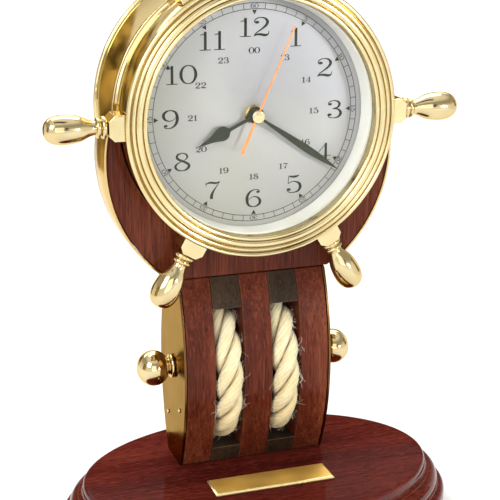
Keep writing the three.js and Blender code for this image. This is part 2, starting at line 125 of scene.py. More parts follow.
def smooth_through(points, per_span=6):
    """A Catmull-Rom curve through the points; works for any number of columns."""
    p = np.array(points, float)
    p = np.vstack([2 * p[0] - p[1], p, 2 * p[-1] - p[-2]])
    made = []
    for i in range(1, len(p) - 2):
        for k in range(per_span):
            t = k / per_span
            made.append(0.5 * (2 * p[i] + (p[i + 1] - p[i - 1]) * t
                               + (2 * p[i - 1] - 5 * p[i] + 4 * p[i + 1] - p[i + 2]) * t * t
                               + (3 * p[i] - p[i - 1] - 3 * p[i + 1] + p[i + 2]) * t ** 3))
    made.append(p[-2])
    return np.array(made)


# --- meshes

def placed(origin, z_axis=(0, 0, 1), x_axis=(1, 0, 0)):
    """A matrix, in metres, that stands local Z on z_axis at origin."""
    z = Vector(z_axis).normalized()
    x = Vector(x_axis)
    x = (x - z * x.dot(z)).normalized()
    y = z.cross(x)
    m = Matrix((x, y, z)).transposed().to_4x4()
    m.translation = Vector(np.array(origin, float) * MM)
    return m


HEAD = placed(WHEEL, (0, 1, 0))     # local Z runs rearwards, local Y downwards
HEAD_MM = HEAD.copy()
HEAD_MM.translation = Vector(WHEEL)


def add_object(name, data):
    obj = bpy.data.objects.new(name, data)
    bpy.context.scene.collection.objects.link(obj)
    return obj


def raw_mesh(name, solid):
    """A mesh of a (verts, faces) pair in millimetres."""
    verts, faces = solid
    mesh = bpy.data.meshes.new(name)
    mesh.from_pydata([tuple(v) for v in np.asarray(verts, float) * MM], [], faces)
    return mesh


def closed_mesh(name, solid, weld=0.0):
    """The same with near points joined and its faces turned outwards."""
    mesh = raw_mesh(name, solid)
    bm = bmesh.new()
    bm.from_mesh(mesh)
    if weld:
        bmesh.ops.remove_doubles(bm, verts=bm.verts, dist=weld)
    bmesh.ops.recalc_face_normals(bm, faces=bm.faces)
    bm.to_mesh(mesh)
    bm.free()
    return mesh


def mapped_mesh(name, solid, uv):
    """The same with a place on the map for each point, and its points kept apart."""
    mesh = raw_mesh(name, solid)
    layer = mesh.uv_layers.new(name="UVMap")
    for loop in mesh.loops:
        layer.data[loop.index].uv = uv[loop.vertex_index]
    return mesh


def build(name, solid, material, body="stand", replaces=(), at=None, sharp=32, bevel=0.0,
          uv=None):
    """Makes a smooth-shaded piece from millimetre points and rides it on its body."""
    mesh = closed_mesh(name, solid, WELD) if uv is None else mapped_mesh(name, solid, uv)
    mesh.shade_smooth()
    mesh.set_sharp_from_angle(angle=math.radians(sharp))
    mesh.materials.append(material)
    obj = add_object(name, mesh)
    if at is not None:
        obj.matrix_world = at
    if bevel:
        add_bevel(obj, bevel)
    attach(obj, body)
    if replaces:
        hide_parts(*replaces)
    return obj


def add_bevel(obj, width, segments=3):
    modifier = obj.modifiers.new("edges", "BEVEL")
    modifier.width = width * MM
    modifier.segments = segments
    modifier.limit_method = "ANGLE"
    modifier.angle_limit = math.radians(32)
    modifier.harden_normals = True


def lathe(profile, segments=128, closed=False, start=0.0, end=360.0):
    """A profile of (radius, height) turned about local Z, whole or in part."""
    whole = abs(end - start) >= 360
    turns = segments if whole else segments + 1
    count = len(profile)
    verts, faces = [], []
    for k in range(turns):
        a = math.radians(start + (end - start) * k / segments)
        verts += [(r * math.cos(a), r * math.sin(a), z) for r, z in profile]
    for k in range(segments):
        here, there = k * count, ((k + 1) % turns) * count
        for i in range(count if closed else count - 1):
            j = (i + 1) % count
            faces.append((here + i, there + i, there + j, here + j))
    if not whole:
        faces.append(tuple(range(count)))
        faces.append(tuple((turns - 1) * count + i for i in range(count)))
    return verts, faces


def prism(outline, low, high, holes=()):
    """Straight-sided solid over an outline in local X and Y, from Z low to high."""
    loops = [list(outline)] + [list(h) for h in holes]
    verts, faces, starts = [], [], []
    for loop in loops:
        starts.append(len(verts))
        verts += [(p[0], p[1], low) for p in loop] + [(p[0], p[1], high) for p in loop]
    for start, loop in zip(starts, loops):
        n = len(loop)
        for i in range(n):
            j = (i + 1) % n
            faces.append((start + i, start + j, start + n + j, start + n + i))
    if not holes:
        n = len(outline)
        faces += [tuple(range(n)), tuple(range(n, 2 * n))]
    else:
        flat = [[Vector((p[0], p[1], 0)) for p in loop] for loop in loops]
        index = [start + i for start, loop in zip(starts, loops) for i in range(len(loop))]
        lift = [len(loop) for loop in loops for _ in loop]
        for tri in tessellate_polygon(flat):
            faces.append(tuple(index[i] for i in tri))
            faces.append(tuple(index[i] + lift[i] for i in tri))
    return verts, faces


def unit(vectors):
    return vectors / np.linalg.norm(vectors, axis=-1, keepdims=True)


def quads(spans, count, start=0, joined=False):
    """Faces between rows of count points each; joined when the last row meets the first."""
    faces = []
    for k in range(spans):
        here, there = start + k * count, start + ((k + 1) % spans if joined else k + 1) * count
        for i in range(count):
            j = (i + 1) % count
            faces.append((here + i, here + j, there + j, there + i))
    return faces


def end_faces(rows, count):
    last = (rows - 1) * count
    return [tuple(range(count)), tuple(last + i for i in range(count))]


def merged(*solids):
    """Several (verts, faces) pairs as one."""
    verts, faces = [], []
    for v, f in solids:
        base = len(verts)
        verts += [tuple(p) for p in v]
        faces += [tuple(base + i for i in face) for face in f]
    return verts, faces


def moved(solid, matrix):
    """A (verts, faces) pair moved by a 4x4 matrix whose translation is in millimetres."""
    verts = [tuple(matrix @ Vector(v)) for v in solid[0]]
    return verts, solid[1]


def strip(points, widths, low, high):
    """A ribbon of varying half width as a thin closed solid in local X and Y."""
    p = np.array(points, float)
    tangent = np.gradient(p, axis=0)
    tangent /= np.maximum(np.linalg.norm(tangent, axis=1), 1e-9)[:, None]
    side = np.stack([-tangent[:, 1], tangent[:, 0]], 1) * np.array(widths, float)[:, None]
    verts = []
    for a, b in zip(p + side, p - side):
        verts += [(a[0], a[1], low), (b[0], b[1], low), (b[0], b[1], high), (a[0], a[1], high)]
    last = 4 * (len(p) - 1)
    ends = [(3, 2, 1, 0), (last, last + 1, last + 2, last + 3)]
    return verts, quads(len(p) - 1, 4) + ends


# --- material nodes

def set_stops(ramp, stops):
    while len(ramp.elements) < len(stops):
        ramp.elements.new(0.5)
    for element, (position, colour) in zip(ramp.elements, stops):
        element.position = position
        if not isinstance(colour, tuple):
            colour = (colour, colour, colour)
        element.color = (*colour, 1.0)


class Finish:
    """A procedural material around one Principled shader."""

    def __init__(self, name, **values):
        self.material = bpy.data.materials.new(name)
        self.material.use_nodes = True
        self.tree = self.material.node_tree
        self.tree.nodes.clear()
        self.shader = self.node("ShaderNodeBsdfPrincipled")
        self.output = self.node("ShaderNodeOutputMaterial")
        self.join(self.shader.outputs[0], self.output.inputs["Surface"])
        for socket, value in values.items():
            self.shader.inputs[socket.replace("_", " ")].default_value = value
        self.place = self.node("ShaderNodeTexCoord")

    def node(self, kind, **settings):
        n = self.tree.nodes.new(kind)
        for key, value in settings.items():
            setattr(n, key, value)
        return n

    def join(self, source, target):
        self.tree.links.new(source, target)

    def feed(self, target, value):
        if isinstance(value, bpy.types.NodeSocket):
            self.join(value, target)
        else:
            target.default_value = value

    def at(self, scale=(1, 1, 1), source="Object"):
        mapping = self.node("ShaderNodeMapping")
        mapping.inputs["Scale"].default_value = scale
        self.join(self.place.outputs[source], mapping.inputs["Vector"])
        return mapping.outputs[0]

    def noise(self, where, scale=1.0, detail=4.0, rough=0.5, distort=0.0):
        n = self.node("ShaderNodeTexNoise")
        self.join(where, n.inputs["Vector"])
        n.inputs["Scale"].default_value = scale
        n.inputs["Detail"].default_value = detail
        n.inputs["Roughness"].default_value = rough
        n.inputs["Distortion"].default_value = distort
        return n.outputs[0]

    def ramp(self, factor, *stops):
        """stops are (position, colour or grey)."""
        n = self.node("ShaderNodeValToRGB")
        self.join(factor, n.inputs[0])
        set_stops(n.color_ramp, stops)
        return n.outputs[0]

    def spread(self, factor, low, high, from_low=0.0, from_high=1.0):
        n = self.node("ShaderNodeMapRange")
        self.join(factor, n.inputs[0])
        for i, value in enumerate((from_low, from_high, low, high)):
            n.inputs[i + 1].default_value = value
        return n.outputs[0]

    def mix(self, factor, first, second):
        n = self.node("ShaderNodeMix", data_type="RGBA")
        self.feed(n.inputs[0], factor)
        for i, value in ((6, first), (7, second)):
            self.feed(n.inputs[i], (*value, 1.0) if isinstance(value, tuple) else value)
        return n.outputs[2]

    def math(self, operation, first, second=0.0):
        n = self.node("ShaderNodeMath", operation=operation)
        self.feed(n.inputs[0], first)
        self.feed(n.inputs[1], second)
        return n.outputs[0]

    def weighed(self, *pairs):
        """The sum of (value, weight) pairs."""
        value, weight = pairs[0]
        first = self.math("MULTIPLY", value, weight)
        return self.math("ADD", first, self.weighed(*pairs[1:])) if pairs[1:] else first

    def tinted(self, colour, share, strength, tint):
        """colour moved towards tint by share times strength."""
        return self.mix(self.math("MULTIPLY", share, strength), colour, tint)

    def bump(self, height, strength, distance_mm, under=None):
        n = self.node("ShaderNodeBump")
        n.inputs["Strength"].default_value = strength
        n.inputs["Distance"].default_value = distance_mm * MM
        self.join(height, n.inputs["Height"])
        if under is not None:
            self.join(under, n.inputs["Normal"])
        return n.outputs[0]

    def edges(self, radius_mm):
        """Near 1 along edges, where a rounded normal leaves the true one: a mask for edge wear and
        painted edge highlights.
        """
        bevel = self.node("ShaderNodeBevel", samples=4)
        bevel.inputs["Radius"].default_value = radius_mm * MM
        geometry = self.node("ShaderNodeNewGeometry")
        dot = self.node("ShaderNodeVectorMath", operation="DOT_PRODUCT")
        self.join(bevel.outputs[0], dot.inputs[0])
        self.join(geometry.outputs["Normal"], dot.inputs[1])
        return self.spread(dot.outputs["Value"], 1.0, 0.0, 0.85, 0.995)

    def crevice(self, distance_mm):
        """Near 1 in corners and recesses that the surface shades: a mask for painted shade."""
        n = self.node("ShaderNodeAmbientOcclusion", samples=4, only_local=True)
        n.inputs["Distance"].default_value = distance_mm * MM
        return self.spread(n.outputs["AO"], 1.0, 0.0, 0.35, 0.95)

    def radius(self):
        """Distance from local Z and height along it, in metres, and the node that splits them."""
        split = self.node("ShaderNodeSeparateXYZ")
        self.join(self.place.outputs["Object"], split.inputs[0])
        squares = [self.math("POWER", split.outputs[i], 2.0) for i in (0, 1)]
        return self.math("SQRT", self.math("ADD", *squares)), split.outputs[2], split

    def combine(self, *values):
        n = self.node("ShaderNodeCombineXYZ")
        for value, target in zip(values, n.inputs):
            self.join(value, target)
        return n.outputs[0]

    def fade_out(self, share):
        """Let this share of the light straight through the surface."""
        mixer = self.node("ShaderNodeMixShader")
        self.join(share, mixer.inputs[0])
        self.join(self.shader.outputs[0], mixer.inputs[1])
        self.join(self.node("ShaderNodeBsdfTransparent").outputs[0], mixer.inputs[2])
        self.join(mixer.outputs[0], self.output.inputs["Surface"])

    def use(self, **sockets):
        for socket, value in sockets.items():
            self.join(value, self.shader.inputs[socket.replace("_", " ")])
        return self.material


BRASS_LIGHT = (0.80, 0.695, 0.415)
BRASS_DEEP = (0.71, 0.575, 0.29)
# Tarnish colour for the specks, also used as painted shade in the corners.
BRASS_TARNISH_AND_SHADE = (0.34, 0.24, 0.09)


def brass(name, rough=0.10, turned=False, brushed=(160, 2400, 2400), light=BRASS_LIGHT,
          deep=BRASS_DEEP, lacquer=0.25, metallic=1.0):
    """Polished, lacquered brass: cloudy tint, fine scratches, tarnish specks, painted shade in the
    corners.
    """
    f = Finish(name, Metallic=metallic, Coat_Weight=lacquer, Coat_Roughness=0.05,
               Specular_Tint=(0.90, 0.74, 0.46, 1.0))
    cloud = f.noise(f.at(), 55, 3)
    colour = f.ramp(cloud, (0.3, deep), (0.7, light))
    # Painted shade: corners and recesses darkened by the occlusion mask.
    colour = f.tinted(colour, f.crevice(1.2), 0.6, BRASS_TARNISH_AND_SHADE)
    speck = f.ramp(f.noise(f.at(), 900, 2, 0.6), (0.70, 0.0), (0.78, 1.0))
    colour = f.tinted(colour, speck, 0.3, BRASS_TARNISH_AND_SHADE)
    if turned:
        radius, height, _ = f.radius()
        marks = f.noise(f.combine(radius, height), 2600, 2, 0.7)
    else:
        marks = f.noise(f.at(brushed), 1.0, 3, 0.7)
    smear = f.noise(f.at(), 90, 4, 0.6)
    roughness = f.math("ADD", f.spread(smear, rough * 0.8, rough * 1.4, 0.3, 0.7),
                       f.spread(marks, 0.0, rough * 0.5, 0.35, 0.75))
    normal = f.bump(marks, 0.05, 0.06)
    normal = f.bump(f.noise(f.at(), 38, 2), 0.035, 0.7, normal)
    return f.use(Base_Color=colour, Roughness=roughness, Normal=normal)


def wood(name, along, deep, middle, bright, edge_wear_and_highlight=(0.36, 0.18, 0.08), gloss=0.25, shine=0.06,
         pore=0.5, fleck=0.2, run=1.0, rim_gloss=None):
    """Lacquered mahogany with its grain along one axis: bands, ribbon figure, dark pores."""
    f = Finish(name, Coat_Weight=gloss, Coat_Roughness=0.06, Coat_IOR=1.36, Specular_IOR_Level=shine)

    def stretch(long, across):
        return tuple(long if i == along else across for i in range(3))

    bands = f.noise(f.at(stretch(2.2, 42)), 1.0, 5, 0.55, 0.6)
    streaks = f.noise(f.at(stretch(16, 620)), 1.0, 4, 0.65, 0.2)
    figure = f.noise(f.at(stretch(26, 70)), 1.0, 3, 0.5, 0.8)
    shade = f.weighed((bands, 0.5), (streaks, 0.35), (figure, 0.15))
    colour = f.ramp(shade, (0.36, deep), (0.5, middle), (0.64, bright))
    pores = f.ramp(f.noise(f.at(stretch(150 / run, 1350)), 1.0, 2, 0.5), (0.34, 1.0), (0.45, 0.0))
    colour = f.tinted(colour, pores, pore, tuple(0.3 * c for c in deep))
    flecks = f.ramp(f.noise(f.at(stretch(170 / run, 1500)), 1.0, 2, 0.5), (0.56, 0.0), (0.68, 1.0))
    colour = f.tinted(colour, flecks, fleck, tuple(min(1, 1.9 * c) for c in bright))
    # Lighter edges: partly wear, partly a painted highlight along the edges.
    colour = f.tinted(colour, f.edges(0.5), 0.55, edge_wear_and_highlight)
    if rim_gloss:
        facing = f.node("ShaderNodeSeparateXYZ")
        f.join(f.node("ShaderNodeNewGeometry").outputs["Normal"], facing.inputs[0])
        f.use(Coat_Weight=f.spread(facing.outputs[2], rim_gloss, gloss, 0.6, 0.99))
    haze = f.noise(f.at(), 60, 4, 0.6)
    roughness = f.spread(haze, 0.26, 0.44, 0.3, 0.7)
    normal = f.bump(pores, 0.25, -0.05)
    normal = f.bump(streaks, 0.10, 0.05, normal)
    normal = f.bump(f.noise(f.at(), 22, 2), 0.06, 0.8, normal)
    f.join(f.bump(f.noise(f.at(), 60, 3), 0.04, 0.3), f.shader.inputs["Coat Normal"])
    return f.use(Base_Color=colour, Roughness=roughness, Normal=normal)


def silvered(name):
    """A silvered dial: brushed outwards from its centre, so that light fans across it."""
    f = Finish(name, Metallic=0.22, Anisotropic=0.6, Specular_IOR_Level=0.25)
    tangent = f.node("ShaderNodeTangent", direction_type="RADIAL", axis="Z")
    f.join(tangent.outputs[0], f.shader.inputs["Tangent"])
    _, _, split = f.radius()
    angle = f.math("ARCTAN2", split.outputs[1], split.outputs[0])
    rays = f.noise(f.combine(angle), 70, 6, 0.75)
    # Painted light: a warm-to-cool cast along a diagonal of the dial, plus random toning.
    across = f.math("SUBTRACT", split.outputs[0], split.outputs[1])
    cast_and_toning = f.math("ADD", f.spread(across, 0.1, 0.9, -0.06, 0.06),
                    f.spread(f.noise(f.at(), 16, 2), -0.3, 0.3, 0.3, 0.7))
    warm = f.ramp(rays, (0.3, (0.355, 0.351, 0.308)), (0.7, (0.398, 0.392, 0.350)))
    cool = f.ramp(rays, (0.3, (0.358, 0.357, 0.377)), (0.7, (0.398, 0.397, 0.418)))
    return f.use(Base_Color=f.mix(cast_and_toning, warm, cool),
                 Roughness=f.spread(rays, 0.40, 0.52, 0.3, 0.7), Normal=f.bump(rays, 0.04, 0.05))


def plain_paint(name, dark, light, rough, scale=260, bumpiness=0.12, **values):
    """Paint, ink or plastic: a fine mottle in colour, gloss and surface, with a painted highlight along
    the edges.
    """
    f = Finish(name, **values)
    grain = f.noise(f.at(), scale, 4, 0.6)
    cloud = f.noise(f.at(), scale / 12, 2)
    colour = f.ramp(f.weighed((grain, 0.5), (cloud, 0.5)), (0.35, dark), (0.65, light))
    # Painted highlight: lighter along the edges.
    colour = f.tinted(colour, f.edges(0.25), 0.35, tuple(min(1, 1.8 * c + 0.03) for c in light))
    return f.use(Base_Color=colour, Roughness=f.spread(grain, rough * 0.8, rough * 1.25, 0.3, 0.7),
                 Normal=f.bump(grain, bumpiness, 0.05))


def rope_fibre(name):
    """Natural laid fibre. U runs round a strand and V along it, both in millimetres."""
    f = Finish(name, Roughness=0.85, Sheen_Weight=0.25, Sheen_Roughness=0.5, Subsurface_Weight=0.08,
               Subsurface_Radius=(0.0012, 0.0008, 0.0004))
    fine = f.noise(f.at((3.4, 0.16, 1), source="UV"), 1.0, 5, 0.7)
    coarse = f.noise(f.at((0.9, 0.06, 1), source="UV"), 1.0, 3, 0.6)
    patches = f.noise(f.at(), 70, 3, 0.6)
    shade = f.weighed((fine, 0.55), (coarse, 0.45))
    colour = f.ramp(shade, (0.30, (0.46, 0.31, 0.11)), (0.42, (0.82, 0.68, 0.37)),
                    (0.54, (0.96, 0.87, 0.57)), (0.70, (1.0, 0.97, 0.77)))
    colour = f.mix(f.spread(patches, 0.0, 0.35, 0.45, 0.75), colour, (0.68, 0.50, 0.20))
    # Painted shade: the rope turns darker and more yellow towards the bottom of its loop.
    _, height, _ = f.radius()
    colour = f.mix(f.spread(height, 0.55, 0.0, 0.050, 0.095), colour, (0.74, 0.54, 0.20))
    # Painted shade: darker brown between the strands, from the occlusion mask.
    colour = f.tinted(colour, f.crevice(2.5), 0.85, (0.26, 0.15, 0.045))
    normal = f.bump(fine, 0.7, 0.30)
    return f.use(Base_Color=colour, Normal=f.bump(coarse, 0.5, 0.5, normal))


def steel(name):
    f = Finish(name, Metallic=1.0)
    marks = f.noise(f.at((300, 300, 2500)), 1.0, 3, 0.7)
    cloud = f.noise(f.at(), 200, 3)
    colour = f.ramp(cloud, (0.3, (0.42, 0.41, 0.39)), (0.7, (0.66, 0.65, 0.63)))
    return f.use(Base_Color=colour, Roughness=f.spread(marks, 0.22, 0.42, 0.3, 0.7),
                 Normal=f.bump(marks, 0.1, 0.05))


def clear_glass(name):
    """Coated glass that lets lamps through, with a trace of dust and smear."""
    f = Finish(name, Transmission_Weight=1.0, IOR=1.24)
    smear = f.noise(f.at(), 45, 4, 0.65)
    dust = f.ramp(f.noise(f.at(), 1400, 1), (0.74, 0.0), (0.80, 1.0))
    roughness = f.math("ADD", f.spread(smear, 0.0, 0.004, 0.5, 0.8), f.math("MULTIPLY", dust, 0.02))
    colour = f.ramp(smear, (0.3, (0.97, 0.985, 0.97)), (0.8, (0.99, 0.99, 0.99)))
    f.fade_out(f.node("ShaderNodeLightPath").outputs["Is Shadow Ray"])
    return f.use(Base_Color=colour, Roughness=roughness)


def felt_cloth(name):
    f = Finish(name, Roughness=0.95, Sheen_Weight=0.6, Sheen_Roughness=0.4)
    fuzz = f.noise(f.at(), 1500, 4, 0.8, 1.5)
    cloud = f.noise(f.at(), 90, 4)
    colour = f.ramp(f.weighed((fuzz, 0.6), (cloud, 0.4)), (0.35, (0.008, 0.035, 0.018)),
                    (0.65, (0.035, 0.11, 0.055)))
    return f.use(Base_Color=colour, Normal=f.bump(fuzz, 0.9, 0.35))


def battery_jacket(name, length):
    """A shrink sleeve in two plain colours with bare metal ends; local Z runs along the cell."""
    f = Finish(name)
    _, height, _ = f.radius()
    share = f.spread(height, 0.0, 1.0, -length / 2 * MM, length / 2 * MM)
    colour = f.ramp(share, (0.0, (0.55, 0.54, 0.52)), (0.025, (0.012, 0.012, 0.014)),
                    (0.68, (0.62, 0.27, 0.08)), (0.955, (0.60, 0.59, 0.57)))
    metal = f.ramp(share, (0.0, 1.0), (0.025, 0.0), (0.68, 0.6), (0.955, 1.0))
    for n in f.tree.nodes:
        if n.bl_idname == "ShaderNodeValToRGB":
            n.color_ramp.interpolation = "CONSTANT"
    mottle = f.noise(f.at(), 400, 3)
    return f.use(Base_Color=colour, Metallic=metal, Roughness=f.spread(mottle, 0.2, 0.34, 0.3, 0.7),
                 Normal=f.bump(mottle, 0.06, 0.05))


RED_DEEP = (0.044, 0.0062, 0.0046)
RED_MIDDLE = (0.089, 0.0122, 0.0082)
RED_BRIGHT = (0.150, 0.026, 0.015)
BROWN_DEEP = (0.038, 0.0068, 0.0032)
BROWN_MIDDLE = (0.098, 0.0180, 0.0080)
BROWN_BRIGHT = (0.205, 0.052, 0.021)
X, Z = 0, 2                     # the axis that a board's grain runs along

wood_base = wood("mahogany_base", X, RED_DEEP, RED_MIDDLE, RED_BRIGHT, gloss=0.06, shine=0.0, pore=0.7,
                 fleck=0.34, rim_gloss=1.0)
wood_upright = wood("mahogany_upright", Z, BROWN_DEEP, BROWN_MIDDLE, BROWN_BRIGHT, run=2.4)
# Painted shade: a dimmed copy of the upright mahogany for the cradle.
wood_cradle_shaded = wood("mahogany_cradle_shaded", Z, BROWN_DEEP, tuple(0.85 * c for c in BROWN_MIDDLE),
                   tuple(0.8 * c for c in BROWN_BRIGHT), run=2.4)
wood_dark = wood("ebonised", Z, (0.016, 0.0095, 0.005), (0.034, 0.020, 0.011), (0.060, 0.036, 0.020),
                 edge_wear_and_highlight=(0.30, 0.17, 0.10))
brass_polished = brass("brass_polished")
brass_turned = brass("brass_turned", turned=True)
# Painted shade: a darker copy of the polished brass, for the grips and the finials.
brass_grip_shaded = brass("brass_grip_shaded", turned=True, light=(0.74, 0.625, 0.365), deep=(0.655, 0.51, 0.25))
brass_case = brass("brass_case", 0.07, turned=True)
# Painted shade: a much darker copy of the brass for the side plates, standing in for their dim
# reflections.
brass_plate_shaded = brass("brass_plate_shaded", 0.16, brushed=(2400, 2400, 120), light=(0.21, 0.105, 0.039),
                    deep=(0.17, 0.082, 0.028), lacquer=0.0)
brass_strap = brass("brass_strap", 0.14, brushed=(2400, 2400, 120), light=(0.72, 0.54, 0.26),
                    deep=(0.60, 0.42, 0.18))
brass_plaque = brass("brass_plaque", 0.32, brushed=(90, 3200, 3200), light=(0.86, 0.56, 0.14),
                     deep=(0.76, 0.47, 0.10), lacquer=0.1, metallic=0.7)
brass_bevel = brass("brass_bevel", 0.16, light=(0.95, 0.78, 0.40), deep=(0.90, 0.70, 0.32),
                    metallic=0.8)
brass_back = brass("brass_back", 0.22, turned=True, light=(0.80, 0.64, 0.33),
                   deep=(0.74, 0.57, 0.27))
rope_material = rope_fibre("rope_fibre")
fuzz_material = plain_paint("loose_fibre", (0.80, 0.67, 0.40), (1.0, 0.94, 0.74), 0.8, 300, 0.1)
silver_dial = silvered("silvered_dial")
silver_ring = plain_paint("silvered_ring", (0.84, 0.83, 0.74), (0.92, 0.91, 0.87), 0.5, 90, 0.02,
                          Metallic=0.1)
ink = plain_paint("dial_ink", (0.016, 0.018, 0.011), (0.032, 0.036, 0.024), 0.8,
                  Specular_IOR_Level=0.1)
hand_dark = plain_paint("hand_dark", (0.013, 0.017, 0.006), (0.027, 0.034, 0.014), 0.5, 420, 0.05,
                        Specular_IOR_Level=0.2)
hand_orange = plain_paint("hand_orange", (0.72, 0.19, 0.035), (0.92, 0.33, 0.08), 0.36, 420, 0.05)
plastic = plain_paint("movement_plastic", (0.016, 0.016, 0.017), (0.036, 0.036, 0.038), 0.42, 1500,
                      0.2)
steel_zinc = steel("zinc_steel")
glass_clear = clear_glass("clear_glass")
felt_green = felt_cloth("felt_green")


# --- base, felt and plaque

FLAT_HALF = np.array([94.0, 62.0])      # the flat top's half length and half depth


def oval(profile, segments=192):
    """A round turning stretched along X, so that each moulding keeps its width."""
    verts, faces = lathe(profile, segments)
    v = np.array(verts, float)
    radius = np.hypot(v[:, 0], v[:, 1])
    share = np.minimum(1.0, radius / FLAT_HALF[1]) * (FLAT_HALF[0] - FLAT_HALF[1])
    v[:, 0] += v[:, 0] / np.maximum(radius, 1e-9) * share
    return v, faces


def make_base():
    flat = FLAT_HALF[1]
    foot = BASE_HIGH[1]
    top, bottom = BASE_TOP, BASE_LOW[2]
    rings = [(r, top) for r in np.linspace(0, flat - 2.5, 5)]
    moulding = [
        *arc((flat - 0.3, top - 2.3), (2.3, 2.3), 90, 8, 8),
        (flat + 2.05, top - 3.6), (flat + 2.1, top - 4.3),
        *arc((flat + 5.2, top - 4.3), (3.1, 2.5), 180, 262, 6)[1:],
        *arc((flat + 3.9, top - 13.3), (5.6, 6.1), 84, 0, 12),
        (flat + 9.5, top - 14.6), (flat + 9.55, top - 15.5), (flat + 10.0, top - 15.9),
        *arc((foot - 3.2, top - 19.4), (3.2, 3.2), 80, 0, 8),
        (foot, bottom + 1.2), *arc((foot - 1.0, bottom + 1.0), 1.0, 0, -90, 4), (0, bottom),
    ]
    build("base_plinth", oval(rings + moulding), wood_base, replaces=["base"],
          sharp=50)
    low, high = box_mm("base_felt")
    edge = high[1]
    profile = [(0, low[2]), (edge - 0.4, low[2]), (edge, low[2] + 0.4), (edge - 0.1, high[2] - 0.2),
               (edge - 0.4, high[2]), (0, high[2])]
    build("felt_pad", oval(profile, 160), felt_green, replaces=["base_felt"], sharp=60)


def make_plaque():
    low, high = box_mm("plaque")
    centre = (low + high) / 2
    half = (high - low) / 2
    loops = [(0.0, 0.15), (0.18, 0.0), (0.75, 0.0), (high[2] - low[2] - 0.1, 0.86),
             (high[2] - low[2], 1.1)]
    verts = []
    for z, inset in loops:
        verts += [(centre[0] + x, centre[1] + y, low[2] + z)
                  for x, y in rectangle(half[0] - inset, half[1] - inset, 0.35, 2)]
    n = len(verts) // len(loops)
    faces = quads(len(loops) - 1, n) + end_faces(len(loops), n)
    plate = build("plaque_blank", (verts, faces), brass_plaque, replaces=["plaque"],
                  sharp=25, bevel=0.05)
    plate.data.materials.append(brass_bevel)
    for face in plate.data.polygons:
        face.material_index = 0 if face.normal.z > 0.98 else 1


# --- pulley block

BLOCK_END_HALF = (box_mm("cradle")[1][1] - box_mm("cradle")[0][1]) / 2
BLOCK_MID_HALF = (BLOCK_HIGH[1] - BLOCK_LOW[1]) / 2
AXLE_BORE = 4.3
# Turns a slab so that its own X, Y and Z lie along the frame's Y, Z and X.
SIDEWAYS = Matrix(((0, 0, 1, 0), (1, 0, 0, 0), (0, 1, 0, 0), (0, 0, 0, 1)))


def block_half_depth(z):
    """Half depth of the block at height z: a shallow arc from end to middle."""
    rise = BLOCK_MID_HALF - BLOCK_END_HALF
    half = (BLOCK_HIGH[2] - BLOCK_LOW[2]) / 2
    radius = (half * half + rise * rise) / (2 * rise)
    drop = z - (BLOCK_LOW[2] + BLOCK_HIGH[2]) / 2
    return BLOCK_MID_HALF - radius + math.sqrt(max(radius ** 2 - drop ** 2, 0.0))


def slab_outline(low_z, high_z, steps):
    zs = np.linspace(low_z, high_z, steps + 1)
    depth = [block_half_depth(z) for z in zs]
    back = [(BLOCK_Y + d, z) for d, z in zip(depth, zs)]
    front = [(BLOCK_Y - d, z) for d, z in zip(depth, zs)]
    return back + front[::-1]


def bored_prism(outline, bore, low, high):
    """A prism with a bore for the axle. Each end is two faces that meet on either side of it."""
    n, m = len(outline), len(bore)
    behind = min(range(n // 2), key=lambda i: abs(outline[i][1] - AXLE[2]))
    before = n - 1 - behind
    upper = [*range(behind, before + 1), *range(n + m // 2, n - 1, -1)]
    lower = [*range(before, n), *range(behind + 1), n, *range(n + m - 1, n + m // 2 - 1, -1)]
    points = [*outline, *bore]
    verts = [(x, y, z) for z in (low, high) for x, y in points]
    lift = n + m
    faces = [tuple(i + k for i in end) for end in (upper, lower) for k in (0, lift)]
    for start, count in ((0, n), (n, m)):
        for i in range(count):
            a, b = start + i, start + (i + 1) % count
            faces.append((a, b, b + lift, a + lift))
    return verts, faces


def make_slab(name, node, material, bevel, steps=40, bored=True):
    low, high = box_mm(node)
    outline = slab_outline(low[2], high[2], steps)
    if bored:
        solid = bored_prism(outline, circle(AXLE_BORE, 48, AXLE[1:]), low[0], high[0])
    else:
        solid = prism(outline, low[0], high[0])
    build(name, moved(solid, SIDEWAYS), material, replaces=[node], bevel=bevel)


def make_block():
    make_slab("cheek_left", "block_cheek_left", wood_upright, 0.5)
    make_slab("cheek_right", "block_cheek_right", wood_upright, 0.5)
    make_slab("partition", "block_partition", wood_upright, 0.35)
    for side in ("left", "right"):
        for end, steps in (("top", 8), ("bottom", 6)):
            make_slab(f"{end}_filler_{side}", f"block_{end}_filler_{side}", wood_dark,
                      0.3, steps, bored=False)
        make_slab(f"plate_{side}", f"side_plate_{side}", brass_plate_shaded, 0.22, 48)
        outward = -1 if side == "left" else 1
        for i in (1, 2, 3):
            node = f"plate_pin_{side}_{i}"
            low, high = box_mm(node)
            foot = np.array([low[0] if outward > 0 else high[0], *((low + high) / 2)[1:]])
            dome = [(0, 0), (1.22, 0), (1.3, 0.1), *arc((0, 0.1), (1.26, 0.5), 12, 90, 6)]
            build(f"pin_{side}_{i}", lathe(dome, 32), brass_polished, replaces=[node],
                  at=placed(foot, (outward, 0, 0), (0, 1, 0)), sharp=40)


# --- finials and sheaves

BALL_HALF = 8.9                 # half length of a finial's ball along the axle


